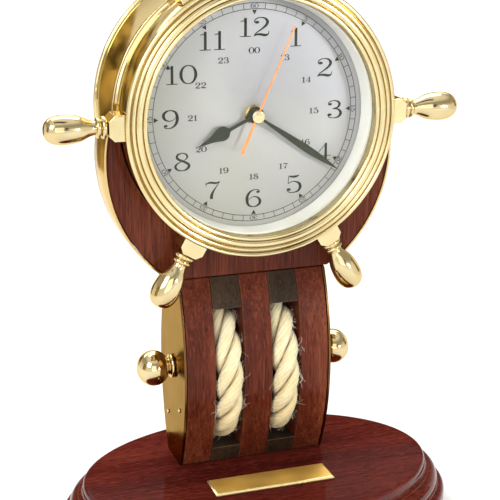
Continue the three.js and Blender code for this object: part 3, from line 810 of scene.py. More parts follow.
def make_finial(side, outward):
    node = f"ball_finial_{side}"
    low, high = box_mm(node)
    foot = (high[0] if outward < 0 else low[0], *AXLE[1:])
    ball_radius = (high[2] - low[2]) / 2
    ball = high[0] - low[0] - BALL_HALF
    profile = [
        (0, 0.02), (6.1, 0.0), (6.5, 0.25), (6.6, 0.75), (6.4, 1.3), (5.7, 1.65), (5.0, 1.75),
        *arc((5.0, 2.35), (0.55, 0.5), -90, -180, 4)[1:], (4.5, 2.7),
        *arc((0, ball), (ball_radius, BALL_HALF), -61, 90, 30),
    ]
    build(f"finial_{side}", lathe(profile, 96), brass_grip_shaded, "axle", [node],
          placed(foot, (outward, 0, 0), (0, 1, 0)), sharp=60)


def make_sheave(side):
    node = f"sheave_{side}"
    low, high = box_mm(node)
    half, outer = (high[0] - low[0]) / 2, (high[2] - low[2]) / 2
    wheel = filleted([
        (AXLE_BORE, -half), (outer - 1.2, -half), (outer, -half + 0.5), (outer, -half + 1.5),
        (outer - 1.4, 0, 3.0), (outer, half - 1.5), (outer, half - 0.5), (outer - 1.2, half),
        (AXLE_BORE, half),
    ], 0.3, 3)
    build(f"pulley_{side}", lathe(wheel, 72, closed=True), brass_turned, node, [node],
          placed((low + high) / 2, (1, 0, 0), (0, 1, 0)), sharp=40)


# --- ropes

ROPE_STRANDS = 3                # one strand laid three times round makes the loop
ROPE_TURNS = 11                 # its turns about the loop's centre line over those three rounds
YARNS = 9
YARN_TWISTS = 63                # a multiple of the yarns, so that they meet where the strand closes
STRAND_RADIUS = 3.45
YARN_RELIEF = 0.30
FIBRE_RELIEF = 0.06
POINTS_A_ROUND = 420
POINTS_ACROSS = 60
FUZZ_COUNT = 700
FUZZ_STEPS = 7
SLOT_HALF = (box_mm("block_partition")[0][0] - box_mm("block_cheek_left")[1][0]) / 2


def loop_frames(centre, half_y, half_z, count):
    """Evenly spaced points, tangents and outward normals on an upright oval at the slot's middle."""
    dense = np.linspace(0, 2 * math.pi, 4001)
    curve = np.stack([-half_y * np.cos(dense), half_z * np.sin(dense)], 1)
    length = np.concatenate([[0], np.cumsum(np.linalg.norm(np.diff(curve, axis=0), axis=1))])
    t = np.interp(np.linspace(0, length[-1], count, endpoint=False), length, dense)
    zero = np.zeros(count)
    point = np.stack([zero, -half_y * np.cos(t), half_z * np.sin(t)], 1) + centre
    tangent = unit(np.stack([zero, half_y * np.sin(t), half_z * np.cos(t)], 1))
    normal = np.stack([zero, -tangent[:, 2], tangent[:, 1]], 1)
    return point, tangent, normal, length[-1]


def held_in_slot(x, middle, half):
    return middle + max(-half, min(half, x - middle))


def strand_skin(centre, line, out, length):
    """The strand's surface, ridged by its yarns, and each point's place on the map."""
    way = unit(np.roll(line, -1, 0) - np.roll(line, 1, 0))
    across = unit(np.cross(way, out))
    lift = np.cross(across, way)
    verts, uv = [], []
    for i in range(len(line)):
        s = i / len(line)
        twist = 2 * math.pi * YARN_TWISTS * s
        wobble = 1 + 0.018 * math.sin(2 * math.pi * 19 * s) + 0.012 * math.sin(2 * math.pi * 31 * s + 2)
        for k in range(POINTS_ACROSS):
            a = 2 * math.pi * k / POINTS_ACROSS
            yarn = abs(math.cos((YARNS * a - twist) / 2)) ** 0.6 - 0.6
            fibre = FIBRE_RELIEF * math.sin(31 * a - 5 * twist)
            r = STRAND_RADIUS * wobble * 0.965 + YARN_RELIEF * yarn + fibre
            p = line[i] + lift[i] * math.cos(a) * r + across[i] * math.sin(a) * r * 1.07
            p[0] = held_in_slot(p[0], centre[0], SLOT_HALF - 0.05)
            verts.append(p)
            uv.append(((a - twist / YARNS) * STRAND_RADIUS, s * length * ROPE_STRANDS))
    return (verts, quads(len(line), POINTS_ACROSS, joined=True)), uv


def make_rope(side):
    low, high = box_mm(f"rope_loop_{side}")
    centre = (low + high) / 2
    rope_radius = (high[0] - low[0]) / 2
    half = (high - low) / 2 - rope_radius
    *frames, length = loop_frames(centre, half[1], half[2], POINTS_A_ROUND)
    point, tangent, normal = (np.tile(a, (ROPE_STRANDS, 1)) for a in frames)
    s = np.arange(len(point)) / len(point)
    phase = (random.uniform(0, 2 * math.pi) + 2 * math.pi * ROPE_TURNS * s)[:, None]
    out = normal * np.cos(phase) + np.cross(tangent, normal) * np.sin(phase)
    line = point + out * (rope_radius - STRAND_RADIUS)
    skin, uv = strand_skin(centre, line, out, length)
    build(f"rope_{side}", skin, rope_material, replaces=[f"rope_loop_{side}"], sharp=80,
          uv=uv)
    make_fuzz(side, centre, line, out, tangent)


def make_fuzz(side, centre, line, out, tangent):
    """Loose fibre ends that stand off the strands."""
    verts, faces, uv = [], [], []
    for _ in range(FUZZ_COUNT):
        i = random.randrange(len(line))
        lean = np.array([random.uniform(-1, 1) for _ in range(3)])
        face = unit(out[i] + 0.5 * lean)
        flow = unit(tangent[i] * random.choice((-1, 1)) + 0.6 * lean)
        aside = np.cross(face, flow)
        reach, rise = random.uniform(2.0, 6.0), random.uniform(0.3, 2.1) ** 1.3
        curl, thick = random.uniform(-1.6, 1.6), random.uniform(0.06, 0.12)
        root = line[i] + face * (STRAND_RADIUS * 0.97)
        base = len(verts)
        for k in range(FUZZ_STEPS + 1):
            t = k / FUZZ_STEPS
            p = root + flow * reach * t + face * rise * math.sin(t * 2.0) + aside * curl * t * t
            if abs(p[1] - BLOCK_Y) < block_half_depth(p[2]) + 0.3:
                p[0] = held_in_slot(p[0], centre[0], SLOT_HALF)
            width = thick * (1 - 0.7 * t)
            for m in range(3):
                a = 2 * math.pi * m / 3
                verts.append(p + width * (math.cos(a) * face + math.sin(a) * aside))
                uv.append((12 + m, i + reach * t))
        faces += quads(FUZZ_STEPS, 3, base)
        faces += [(base + 2, base + 1, base), tuple(base + 3 * FUZZ_STEPS + m for m in range(3))]
    build(f"rope_fuzz_{side}", (verts, faces), fuzz_material, uv=uv)


# --- cradle and straps

CRADLE_RADIUS = 76.5
CRADLE_DROP = 22.0
HORN_DROP = 3.0
cradle_low, cradle_high = box_mm("cradle")
CHORD = cradle_low[2] - WHEEL[2]
STEP = 9.5                      # where the drum steps out behind the dial's face


def cradle_reach(angle):
    """Distance from the wheel's axis to the cradle's outline along an angle."""
    s = math.sin(angle)
    along = -s * CRADLE_DROP
    reach = along + math.sqrt(along * along - CRADLE_DROP ** 2 + CRADLE_RADIUS ** 2)
    if s < -1e-6:
        reach = min(reach, CHORD / s)
    return reach


def make_cradle():
    front, back = cradle_low[1] - WHEEL[1], cradle_high[1] - WHEEL[1]
    neck, grip = 70.1, 72.2
    corner = math.atan2(CHORD, math.sqrt(CRADLE_RADIUS ** 2 - (CHORD + CRADLE_DROP) ** 2))
    ends = math.asin(-HORN_DROP / neck)
    right = np.linspace(ends, corner, 70)
    bottom = np.linspace(corner, -math.pi - corner, 40)[1:-1]
    angles = [*right, *bottom, *(-math.pi - a for a in right[::-1])]
    verts = []
    for angle in angles:
        outer = cradle_reach(angle)
        section = filleted([
            (outer, front, 0.9), (outer, back, 0.9), (grip, back, 0.5), (grip, STEP - 0.3, 0.2),
            (neck, STEP - 0.3, 0.2), (neck, front, 0.5),
        ], 0.5, 4)
        verts += [(r * math.cos(angle), -r * math.sin(angle), y) for r, y in section]
    count = len(verts) // len(angles)
    solid = moved((verts, quads(len(angles) - 1, count) + end_faces(len(angles), count)), HEAD_MM)
    build("cradle_crescent", solid, wood_cradle_shaded, replaces=["cradle"], sharp=40)


def make_straps():
    inner, outer = CRADLE_RADIUS + 0.3, CRADLE_RADIUS + 1.5
    front, back = cradle_low[1] - WHEEL[1], cradle_high[1] - WHEEL[1]
    top = math.degrees(math.asin((-HORN_DROP + CRADLE_DROP) / outer))
    foot = math.degrees(math.asin((CHORD + CRADLE_DROP) / outer))
    section = filleted([(inner, front), (outer, front), (outer, back), (inner, back)], 0.35, 3)
    for side in ("left", "right"):
        start, end = (-top, -foot) if side == "right" else (180 + foot, 180 + top)
        band = lathe(section, 64, closed=True, start=start, end=end)
        at = placed(WHEEL - np.array([0, 0, CRADLE_DROP]), (0, 1, 0))
        build(f"strap_{side}", band, brass_strap,
              replaces=[f"cradle_strap_{side}"], at=at, sharp=50)


# --- clock case

# Profiles as (distance from the wheel's axis, distance behind the dial's face).
DRUM = filleted([
    (41, 1.3, 0.2), (69.2, 1.3, 0.6), (69.2, 9.2, 0.5), (70.5, 9.5, 0.3), (71.6, 9.5, 0.75),
    (71.6, 11.8, 0.3), (71.35, 12.1, 0.2), (71.35, 43.4, 0.2), (71.7, 43.8, 0.3),
    (71.8, 44.5, 0.5), (73.0, 44.8, 1.0), (73.0, 47.0, 1.0), (70.2, 47.0, 0.6), (70.2, 10.9, 0.4),
    (67.8, 10.9, 0.3), (67.8, 2.7, 0.4), (41, 2.7, 0.2),
], 0.4, 4)
BEZEL = [
    (64.3, 1.0), (69.4, 1.0), (69.8, 0.6), (69.8, -14.9), (69.65, -15.3), (69.75, -15.62),
    *arc((69.85, -16.62), (1.12, 1.15), 92, -150, 22),
    (68.72, -16.9), (68.6, -16.45), (68.25, -16.3), (68.05, -16.55), (68.02, -16.75),
    *arc((67.0, -16.95), (1.02, 0.95), 10, -162, 14), (65.9, -17.05),
    *arc((64.2, -16.95), (1.68, 1.3), -6, -172, 18), (62.42, -17.05),
    *arc((61.3, -17.0), (1.12, 0.95), -8, -176, 12),
    (60.1, -16.8), (60.0, -12.8), (60.2, -12.6), (64.3, -12.6),
]
PANE = [(0, -12.3), (40, -12.3), (63.6, -12.3), (63.9, -12.0), (63.9, -10.6), (63.6, -10.3),
        (40, -10.3), (0, -10.3)]
SLANT = [
    (60.1, -10.0), (63.9, -10.0), (63.9, -0.3), (59.0, -0.3), (58.85, -0.55),
    *smooth_through([(58.85, -0.55), (59.1, -4.0), (59.5, -7.5), (59.85, -9.8)], 3)[1:].tolist(),
]


def make_case():
    build("drum_case", lathe(DRUM, 224, closed=True), brass_case,
          replaces=["clock_drum"], at=HEAD, sharp=45)
    build("bezel_ring", lathe(BEZEL, 256, closed=True), brass_turned, replaces=["bezel"],
          at=HEAD, sharp=40)
    build("glass_pane", lathe(PANE, 160), glass_clear, replaces=["glass"], at=HEAD,
          sharp=30)
    build("inner_ring", lathe(SLANT, 192, closed=True), silver_ring,
          replaces=["reflector_ring"], at=HEAD, sharp=40)


# --- dial

# Strokes on a cell one high, as (across, up, half width) in thousandths.
STROKES = {
    "0": [[(290, 985, 24), (140, 900, 45), (55, 680, 75), (40, 500, 85), (55, 320, 75),
           (140, 100, 45), (290, 15, 24), (440, 100, 45), (525, 320, 75), (540, 500, 85),
           (525, 680, 75), (440, 900, 45), (290, 985, 24)]],
    "1": [[(270, 15, 100), (270, 50, 78), (270, 300, 76), (270, 990, 76)],
          [(40, 20, 22), (270, 22, 24), (500, 20, 22)],
          [(300, 965, 22), (220, 860, 26), (70, 815, 22)]],
    "2": [[(50, 720, 18), (60, 860, 30), (160, 960, 28), (290, 985, 26), (430, 920, 55),
           (500, 740, 82), (430, 540, 62), (260, 340, 38), (100, 170, 28), (30, 30, 18)],
          [(30, 20, 18), (120, 90, 45), (240, 100, 62), (380, 55, 68), (470, 55, 55),
           (530, 120, 30), (550, 260, 14)],
          [(55, 745, 20), (100, 745, 68), (170, 745, 68), (215, 745, 20)]],
    "3": [[(60, 800, 20), (100, 920, 26), (270, 985, 24), (420, 910, 50), (470, 760, 72),
           (400, 600, 45), (220, 535, 20)],
          [(220, 535, 20), (420, 490, 45), (520, 280, 85), (440, 80, 55), (270, 15, 24),
           (110, 60, 26), (40, 200, 20)],
          [(50, 790, 20), (90, 790, 62), (155, 790, 62), (195, 790, 20)],
          [(30, 205, 20), (75, 205, 68), (145, 205, 68), (190, 205, 20)]],
    "4": [[(390, 20, 78), (390, 300, 76), (390, 985, 70)],
          [(240, 20, 20), (540, 20, 20)],
          [(410, 970, 22), (200, 620, 20), (10, 275, 20)],
          [(0, 262, 22), (580, 262, 22)]],
    "5": [[(100, 975, 18), (200, 930, 55), (330, 915, 62), (430, 945, 45), (490, 995, 14)],
          [(105, 960, 20), (85, 520, 20)],
          [(85, 530, 16), (190, 620, 24), (330, 635, 30), (480, 530, 66), (530, 320, 85),
           (460, 100, 56), (280, 15, 24), (110, 60, 26), (40, 200, 20)],
          [(30, 200, 20), (75, 200, 66), (145, 200, 66), (190, 200, 20)]],
    "6": [[(500, 840, 20), (470, 940, 26), (340, 985, 24), (190, 910, 45), (80, 700, 75),
           (50, 420, 86), (110, 130, 60), (290, 15, 26), (460, 110, 60), (520, 300, 82),
           (460, 500, 55), (320, 590, 26), (180, 530, 18), (100, 400, 14)],
          [(380, 845, 20), (415, 845, 58), (475, 845, 58), (510, 845, 20)]],
    "7": [[(40, 990, 16), (50, 730, 16)],
          [(50, 860, 18), (150, 940, 45), (260, 935, 58), (380, 900, 55), (470, 930, 36),
           (535, 985, 18)],
          [(530, 970, 18), (420, 720, 26), (310, 460, 50), (245, 220, 82), (240, 30, 90)]],
    "8": [[(290, 985, 24), (150, 910, 50), (110, 760, 68), (180, 630, 62), (360, 500, 60),
           (500, 360, 70), (520, 220, 76), (430, 70, 50), (290, 15, 24), (130, 70, 45),
           (55, 240, 68), (120, 400, 40), (260, 520, 22), (410, 630, 26), (470, 780, 52),
           (410, 920, 42), (290, 985, 24)]],
}
DIGITS = {key: [[tuple(n / 1000 for n in point) for point in stroke] for stroke in strokes]
          for key, strokes in STROKES.items()}
DIGITS["9"] = [[(0.58 - x, 1 - y, w) for x, y, w in stroke] for stroke in DIGITS["6"]]
DIGIT_STRETCH = {**{d: 1.62 for d in "023456789"}, "1": 1.35}
DIGIT_WIDTH = {d: (0.52 if d == "1" else 0.58) * stretch for d, stretch in DIGIT_STRETCH.items()}
DIGIT_GAP = 0.09
PRINT_LOW, PRINT_HIGH = -0.05, -0.012
DIAL_EDGE = 63.9
TRACK_RADII = (53.2, 54.7, 56.2)            # inner line, tiny numbers, outer line
TRACK_POINTS = 241
MARKER_TIP, MARKER_FOOT, MARKER_HALF_ANGLE = 50.4, 52.7, 0.024
HOUR_RADIUS, HOUR_HEIGHT = 44.2, 9.4
DAY_RADIUS, DAY_HEIGHT = 32.6, 2.9          # the inner ring, 13 to 00
MINUTE_HEIGHT = 2.1


def printed(points, half_widths):
    return strip(points, half_widths, PRINT_LOW, PRINT_HIGH)


def number(text, centre, height, turn=0.0, per_span=6, weight=1.0):
    """A number as thin solids round a centre in local X and Y; turn is clockwise."""
    pen = -(sum(DIGIT_WIDTH[c] for c in text) + DIGIT_GAP * (len(text) - 1)) / 2
    c, s = math.cos(turn), math.sin(turn)
    solids = []
    for character in text:
        stretch = DIGIT_STRETCH[character]
        for stroke in DIGITS[character]:
            points = smooth_through([(pen + x * stretch, y - 0.5, w) for x, y, w in stroke], per_span)
            u, v = points[:, 0] * height, points[:, 1] * height
            flat = np.stack([centre[0] + u * c + v * s, centre[1] + u * s - v * c], 1)
            solids.append(printed(flat, np.maximum(points[:, 2], 0.008) * height * weight))
        pen += DIGIT_WIDTH[character] + DIGIT_GAP
    return solids


def on_dial(radius, turn):
    """Local X and Y of a place on the dial; turn is clockwise from the 12."""
    return radius * math.sin(turn), -radius * math.cos(turn)


def minute_track():
    inner, middle, outer = TRACK_RADII
    solids = []
    for radius in (outer, inner):
        edge = [on_dial(radius, a) for a in np.linspace(0, 2 * math.pi, TRACK_POINTS)]
        solids.append(printed(edge, [0.16] * TRACK_POINTS))
    for minute in range(60):
        turn = minute * math.pi / 30
        if minute % 5:
            solids.append(printed([on_dial(radius, turn) for radius in TRACK_RADII], [0.14] * 3))
            continue
        solids += number(str(minute or 60), on_dial(middle, turn), MINUTE_HEIGHT, turn, 3, 1.25)
        foot = [on_dial(MARKER_FOOT, turn + side * MARKER_HALF_ANGLE) for side in (-1, 1)]
        solids.append(prism([on_dial(MARKER_TIP, turn), *foot], PRINT_LOW, PRINT_HIGH))
    return solids


def make_dial():
    plate = filleted([(4.0, 0.0), (DIAL_EDGE, 0.0), (DIAL_EDGE, 1.0), (4.0, 1.0)], 0.15, 2)
    build("dial_plate", lathe(plate, 192, closed=True), silver_dial,
          replaces=["dial"], at=HEAD, sharp=30)
    solids = minute_track()
    for hour in range(1, 13):
        turn = hour * math.pi / 6
        solids += number(str(hour), on_dial(HOUR_RADIUS, turn), HOUR_HEIGHT, 0.0, 7)
        text = "00" if hour == 12 else str(hour + 12)
        solids += number(text, on_dial(DAY_RADIUS, turn), DAY_HEIGHT, 0.0, 4, 1.5)
    build("dial_print", merged(*solids), ink, at=HEAD, sharp=30)


# --- hands

# Where each hand points, in degrees clockwise from the 12, at rest.
HOUR_ANGLE = 244.5
MINUTE_ANGLE = 124.5
SECOND_ANGLE = 23.8
# Outlines as (distance from the hub, half width).
SPADE = [(3.2, 0.95), (5, 0.85), (13, 0.85), (15.2, 1.0), (16.2, 1.9), (17.2, 3.0), (18.8, 3.65),
         (20.6, 3.6), (23, 2.7), (26, 1.65), (30, 0.8), (34, 0.06)]
LEAF = [(2.8, 0.8), (6, 0.72), (14, 1.15), (24, 1.65), (33, 1.9), (41, 1.6), (48, 0.95), (55, 0.05)]
NEEDLE = [(1.5, 0.50), (20, 0.46), (38, 0.46), (49, 0.42)]
NEEDLE_TAIL = [(1.5, 0.62), (10, 0.74), (21, 0.86)]


def make_hand(name, node, outline, hub, thickness, front, angle, material, tail=()):
    """A stamped hand: its blade points along local X, and local Z is its front."""
    upper = smooth_through(outline, 5)
    shape = [(d, w) for d, w in upper] + [(d, -w) for d, w in upper[::-1]]
    if tail:
        back = smooth_through(tail, 3)
        shape += [(-d, -w) for d, w in back] + [(-d, w) for d, w in back[::-1]]
    boss = filleted([(0, 0), (hub, 0), (hub, thickness), (0, thickness)], 0.12, 2, closed=False)
    top = thickness + 0.12
    raised = [(0, thickness), (hub * 0.72, thickness), (hub * 0.66, top), (0, top)]
    solid = merged(prism(shape, 0.0, thickness), lathe(boss, 48), lathe(raised, 48))
    turn = math.radians(90 - angle)
    pointing = (math.cos(turn), 0, math.sin(turn))
    at = placed(WHEEL + np.array([0, -front + thickness, 0]), (0, -1, 0), pointing)
    build(name, solid, material, node, [node], at, sharp=30, bevel=0.07)


def make_hands():
    make_hand("hour_spade", "hour_hand", SPADE, 4.4, 0.45, 3.1, HOUR_ANGLE, hand_dark)
    make_hand("minute_leaf", "minute_hand", LEAF, 3.6, 0.45, 4.7, MINUTE_ANGLE, hand_dark)
    make_hand("second_needle", "second_hand", NEEDLE, 2.0, 0.35, 6.0, SECOND_ANGLE, hand_orange,
              NEEDLE_TAIL)
    cap = [(0, -6.8), (3.1, -6.8), (3.3, -6.95), (3.3, -7.7), (3.15, -7.88), (2.85, -7.96), (1.4, -7.99),
           (0, -8.0)]
    build("brass_cap", lathe(cap, 64), brass_turned, "second_hand", ["hand_cap"], HEAD,
          sharp=45)


# --- wheel handles

SPOKES = 6
SOCKET_FOOT = 70.4              # distance of a spoke block's foot from the wheel's axis
SOCKET_HALF = 6.5
SOCKET_LENGTH = 8.2
SOCKET_CHAMFER = 2.9
GRIP = [
    (0, 0.0), (4.7, 0.0), *arc((4.6, 1.25), (1.08, 1.2), -80, 80, 10), (4.45, 2.55), (4.3, 2.75),
    (4.4, 2.95), *arc((4.2, 4.05), (0.95, 1.05), -80, 80, 9), (3.8, 5.2), (3.62, 5.45), (3.7, 5.7),
    *smooth_through([(3.62, 6.2), (3.8, 7.2), (4.45, 8.9), (5.45, 11.0), (6.4, 13.4), (7.0, 16.2),
                     (7.33, 19.6), (7.3, 22.8), (6.8, 25.6), (5.8, 27.9), (4.2, 29.6), (2.2, 30.45),
                     (0.0, 30.6)], 5).tolist(),
]


def make_handle(i):
    node = f"spoke_block_{i}"
    turn = (i - 1) * 2 * math.pi / SPOKES
    outward = Vector((math.cos(turn), 0, math.sin(turn)))
    hub = np.array([0, middle_mm(node)[1], WHEEL[2]])
    half, top = SOCKET_HALF, SOCKET_FOOT + SOCKET_LENGTH
    outline = [(SOCKET_FOOT, -half), (top - SOCKET_CHAMFER, -half), (top, -half + SOCKET_CHAMFER),
               (top, half - SOCKET_CHAMFER), (top - SOCKET_CHAMFER, half), (SOCKET_FOOT, half)]
    build(f"spoke_socket_{i}", prism(outline, -half, half), brass_polished,
          replaces=[node], at=placed(hub, (0, 1, 0), outward), bevel=0.45)
    foot = hub + np.array(outward) * (top + 0.3)
    build(f"wheel_grip_{i}", lathe(GRIP, 80), brass_grip_shaded, replaces=[f"handle_grip_{i}"],
          at=placed(foot, outward, (0, 1, 0)), sharp=50)


# --- movement and back

def make_back():
    low, high = box_mm("back_plate")
    near, far = low[1] - WHEEL[1], high[1] - WHEEL[1]
    plate = prism(circle((high[0] - low[0]) / 2, 160), near, far, [rectangle(28.6, 28.6, 2.0)])
    build("rear_plate", plate, brass_back, replaces=["back_plate"], at=HEAD, sharp=30,
          bevel=0.12)
    for i in (1, 2):
        node = f"back_screw_{i}"
        low, high = box_mm(node)
        length = high[1] - low[1]
        profile = [(0, -length), (1.1, -length), (1.55, 1.4 - length), (1.55, -2.4), (3.3, -2.4),
                   (3.4, -2.25), (3.4, -0.8), *arc((2.5, -0.8), (0.9, 0.8), 0, 90, 6), (0, 0)]
        head = (middle_mm(node)[0], high[1], middle_mm(node)[2])
        screw = build(f"rear_screw_{i}", lathe(profile, 40), steel_zinc, replaces=[node],
                      at=placed(head, (0, 1, 0)), sharp=30)
        cut_with(screw, prism(rectangle(4, 0.42), -0.95, 0.5))


def cut_with(obj, solid):
    """Subtracts a solid, given in millimetres in the object's own frame, and applies it."""
    tool = add_object("tool", closed_mesh("tool", solid))
    tool.matrix_world = obj.matrix_world
    modifier = obj.modifiers.new("cut", "BOOLEAN")
    modifier.operation = "DIFFERENCE"
    modifier.solver = "EXACT"
    modifier.object = tool
    bpy.context.view_layer.update()
    evaluated = obj.evaluated_get(bpy.context.evaluated_depsgraph_get())
    made = bpy.data.meshes.new_from_object(evaluated)
    obj.modifiers.clear()
    obj.data = made
    bpy.data.objects.remove(tool)
    obj.data.shade_smooth()
    obj.data.set_sharp_from_angle(angle=math.radians(30))


TROUGH_HALF_LENGTH = 26.2       # the cell's trough in the movement's back
TROUGH_HALF_WIDTH = 7.4
TROUGH_DEPTH = 14.8
RELIEF_LOW, RELIEF_HIGH = -0.65, -0.15      # raised marks, from the movement's back
NUT_RADIUS = 5.0
NUT_BORE = 3.95
FLUTE_POINTS = 144
FLUTE_DEPTH = 0.28


def make_relief(back, cell):
    """The movement's raised marks round the knob, and the contacts at the ends of its trough."""
    low, high = back + RELIEF_LOW, back + RELIEF_HIGH
    knob = middle_mm("setting_knob") - WHEEL
    collar = lathe([(8.7, low), (9.3, low), (9.3, high), (8.7, high)], 72, closed=True)
    marks = [moved(collar, Matrix.Translation((knob[0], -knob[2], 0)))]
    for turn in (150, 180, 210):
        a = math.radians(turn)
        x, y = knob[0] + 13.5 * math.cos(a), -knob[2] + 6.5 * math.sin(a)
        marks.append(prism([(x - 1.6, y), (x + 0.9, y - 1.1), (x + 0.9, y + 1.1)], low, high))
    for x in np.arange(-21.0, 0.1, 3.0):
        marks.append(prism([(x, 3.4), (x + 1.4, 3.4), (x + 1.4, 5.0), (x, 5.0)], low, back + 0.25))
    build("housing_relief", merged(*marks), plastic, at=HEAD, bevel=0.08)
    coils = [lathe(arc((radius, place), 0.24, 0, 345, 12), 40, closed=True)
             for radius, place in ((4.6, -0.4), (3.6, -0.05), (2.6, 0.3))]
    middle = WHEEL + cell * (0, 1, 1)
    at = placed((-25.6, cell[1] + WHEEL[1], middle[2]), (1, 0, 0), (0, 1, 0))
    build("contact_spring", merged(*coils), steel_zinc, at=at)
    at = placed(middle, (1, 0, 0), (0, 1, 0))
    build("contact_plate", prism(rectangle(4.6, 4.6, 0.8), 25.35, 25.65), steel_zinc, at=at,
          bevel=0.06)


def make_housing():
    low, high = box_mm("movement")
    half = (high[0] - low[0]) / 2
    front, back = 1.3, high[1] - WHEEL[1]
    obj = build("quartz_housing", prism(rectangle(half, half, 3.0, 5), front, back), plastic,
                replaces=["movement"], at=HEAD)
    cell = middle_mm("battery") - WHEEL
    trough = [(x, y - cell[2]) for x, y in rectangle(TROUGH_HALF_LENGTH, TROUGH_HALF_WIDTH)]
    cut_with(obj, prism(trough, back - TROUGH_DEPTH, back + 1))
    recess = [(x, y - 15.2) for x, y in rectangle(25.2, 9.5, 1.5)]
    cut_with(obj, prism(recess, back - 0.6, back + 1))
    for x in (-22.4, 22.4):
        groove = [(x - 0.5, -28.5), (x + 0.5, -28.5), (x + 0.5, -25.9), (x - 0.5, -25.9)]
        cut_with(obj, prism(groove, front - 1, back + 1))
    add_bevel(obj, 0.3, 2)
    make_relief(back, cell)


def make_nose_and_nut():
    threads = [(3.7 if k % 2 else 3.45, -2.0 + 0.28 * k) for k in range(12)]
    nose = filleted([(0, -2.6), (3.2, -2.6), (3.7, -2.1), *threads, (3.7, 1.6), (0, 1.6)], 0.05, 1,
                    closed=False)
    build("threaded_nose", lathe(nose, 48), brass_turned, at=HEAD, sharp=35)
    nut = prism(circle(NUT_RADIUS, 6), -2.1, -0.75, [circle(NUT_BORE, 32)])
    washer = [(NUT_BORE, -0.75), (4.95, -0.75), (5.0, -0.6), (5.0, -0.3), (NUT_BORE, -0.3)]
    build("hex_nut", merged(nut, lathe(washer, 48, closed=True)), brass_turned,
          replaces=["movement_nut"], at=HEAD, bevel=0.1)


def make_knob():
    low, high = box_mm("setting_knob")
    centre = (low + high) / 2
    radius = (high[0] - low[0]) / 2
    flutes = []
    for k in range(FLUTE_POINTS):
        a = 2 * math.pi * k / FLUTE_POINTS
        r = radius - FLUTE_DEPTH * (0.5 - 0.5 * math.cos(2 * math.pi * k / 4))
        flutes.append((r * math.cos(a), r * math.sin(a)))
    crown = lathe([(0, 1.6), (5.6, 1.6), (5.9, 1.75), (6.1, 2.6), (6.3, 2.85), (6.8, 3.0), (7.35, 2.85),
                   (7.45, 2.5), (0, 2.5)], 72)
    bar = prism(rectangle(5.4, 0.9, 0.5), 1.5, 2.8)
    build("knurled_knob", merged(prism(flutes, 0.0, 2.6), crown, bar), plastic, "setting_knob",
          ["setting_knob"], placed((centre[0], low[1], centre[2]), (0, 1, 0)), sharp=30)


def make_cell():
    low, high = box_mm("battery")
    length, radius = high[0] - low[0], (high[2] - low[2]) / 2
    end = length / 2
    cell = [
        (0, -end), (4.6, -end), (4.8, -end + 0.3), (radius - 0.6, -end + 0.35), (radius, -end + 0.9),
        (radius, end - 2.2), (radius - 0.5, end - 1.55), (3.2, end - 1.5), (2.8, end - 1.3),
        (2.7, end - 0.3), (2.4, end), (0, end),
    ]
    build("aa_cell", lathe(cell, 72), battery_jacket("cell_jacket", length), "battery",
          ["battery"], placed((low + high) / 2, (1, 0, 0), (0, 1, 0)), sharp=30)


KEPT_NODES = {"base_screw_1": steel_zinc, "base_screw_2": steel_zinc, "cradle_screw_1": steel_zinc,
              "cradle_screw_2": steel_zinc, "axle_rod": brass_polished}
for kept, look in KEPT_NODES.items():
    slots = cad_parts[kept].data.materials
    slots.clear()
    slots.append(look)

make_base()
make_plaque()
make_block()
for end, outward in (("left", -1), ("right", 1)):
    make_finial(end, outward)
    make_sheave(end)
make_rope("left")
make_rope("right")
make_cradle()
make_straps()
make_case()
make_dial()
make_hands()
for spoke in range(1, SPOKES + 1):
    make_handle(spoke)
make_back()
make_housing()
make_nose_and_nut()
make_knob()
make_cell()


# --- stage, lights and camera

AIM = (0, 0.02, 0.15)
CARD_AIM = (0, 0.02, 0.17)
# name, place, size, power, aim
SOFTBOXES = [
    ("key", (0.75, -1.25, 0.35), (0.16, 0.16), 5, AIM),
    ("front", (-0.35, -1.6, 0.60), (1.0, 1.0), 5, AIM),
    ("fill", (-1.2, -0.8, 1.1), (0.8, 0.8), 12, AIM),
    ("top", (0.1, 0.7, 1.5), (1.3, 0.6), 12, AIM),
    ("distance", (0.3, 3.4, 2.4), (5.0, 2.5), 110, (0.3, 3.6, 0)),
]
OLIVE = (0.035, 0.030, 0.016)
UMBER = (0.07, 0.048, 0.018)
AMBER = (0.50, 0.35, 0.11)
# name, place, size, dark colour, light colour
CARDS = [
    ("flag_front", (-0.15, -1.9, 0.75), (1.3, 0.8), OLIVE, UMBER),
    ("flag_back_left", (-0.75, 1.5, 0.45), (0.9, 0.7), UMBER, AMBER),
    ("flag_low_left", (-0.34, 0.62, 0.13), (0.42, 0.22), UMBER, AMBER),
    ("flag_back_right", (0.9, 1.5, 0.50), (0.7, 0.6), UMBER, AMBER),
    ("flag_low_right", (0.36, 0.62, 0.13), (0.36, 0.20), UMBER, AMBER),
    ("flag_left", (-1.8, -0.1, 0.45), (0.8, 0.9), UMBER, AMBER),
    ("flag_right", (1.9, 0.1, 0.5), (0.8, 0.9), UMBER, AMBER),
    ("flag_high", (-0.2, -0.5, 2.0), (1.2, 0.45), OLIVE, UMBER),
]
SKY = ((0.0, 0.95), (0.20, 0.90), (0.38, 0.46), (0.66, 0.38), (0.84, 0.9), (1.0, 1.0))
SKY_STRENGTH = 1.1
FLOOR_RADIUS = 9
FLOOR_CLEAR, FLOOR_GONE = 0.7, 1.6          # the floor fades into the sky between these radii

VIEW_AZIMUTH, VIEW_ELEVATION, VIEW_ROLL = -18.9, 17.29, 0.24
VIEW_DISTANCE = 0.69824
VIEW_TARGET = Vector((0.00274, BLOCK_Y * MM, BASE_TOP * MM + 0.11538))
LENS_MM = 93.68568


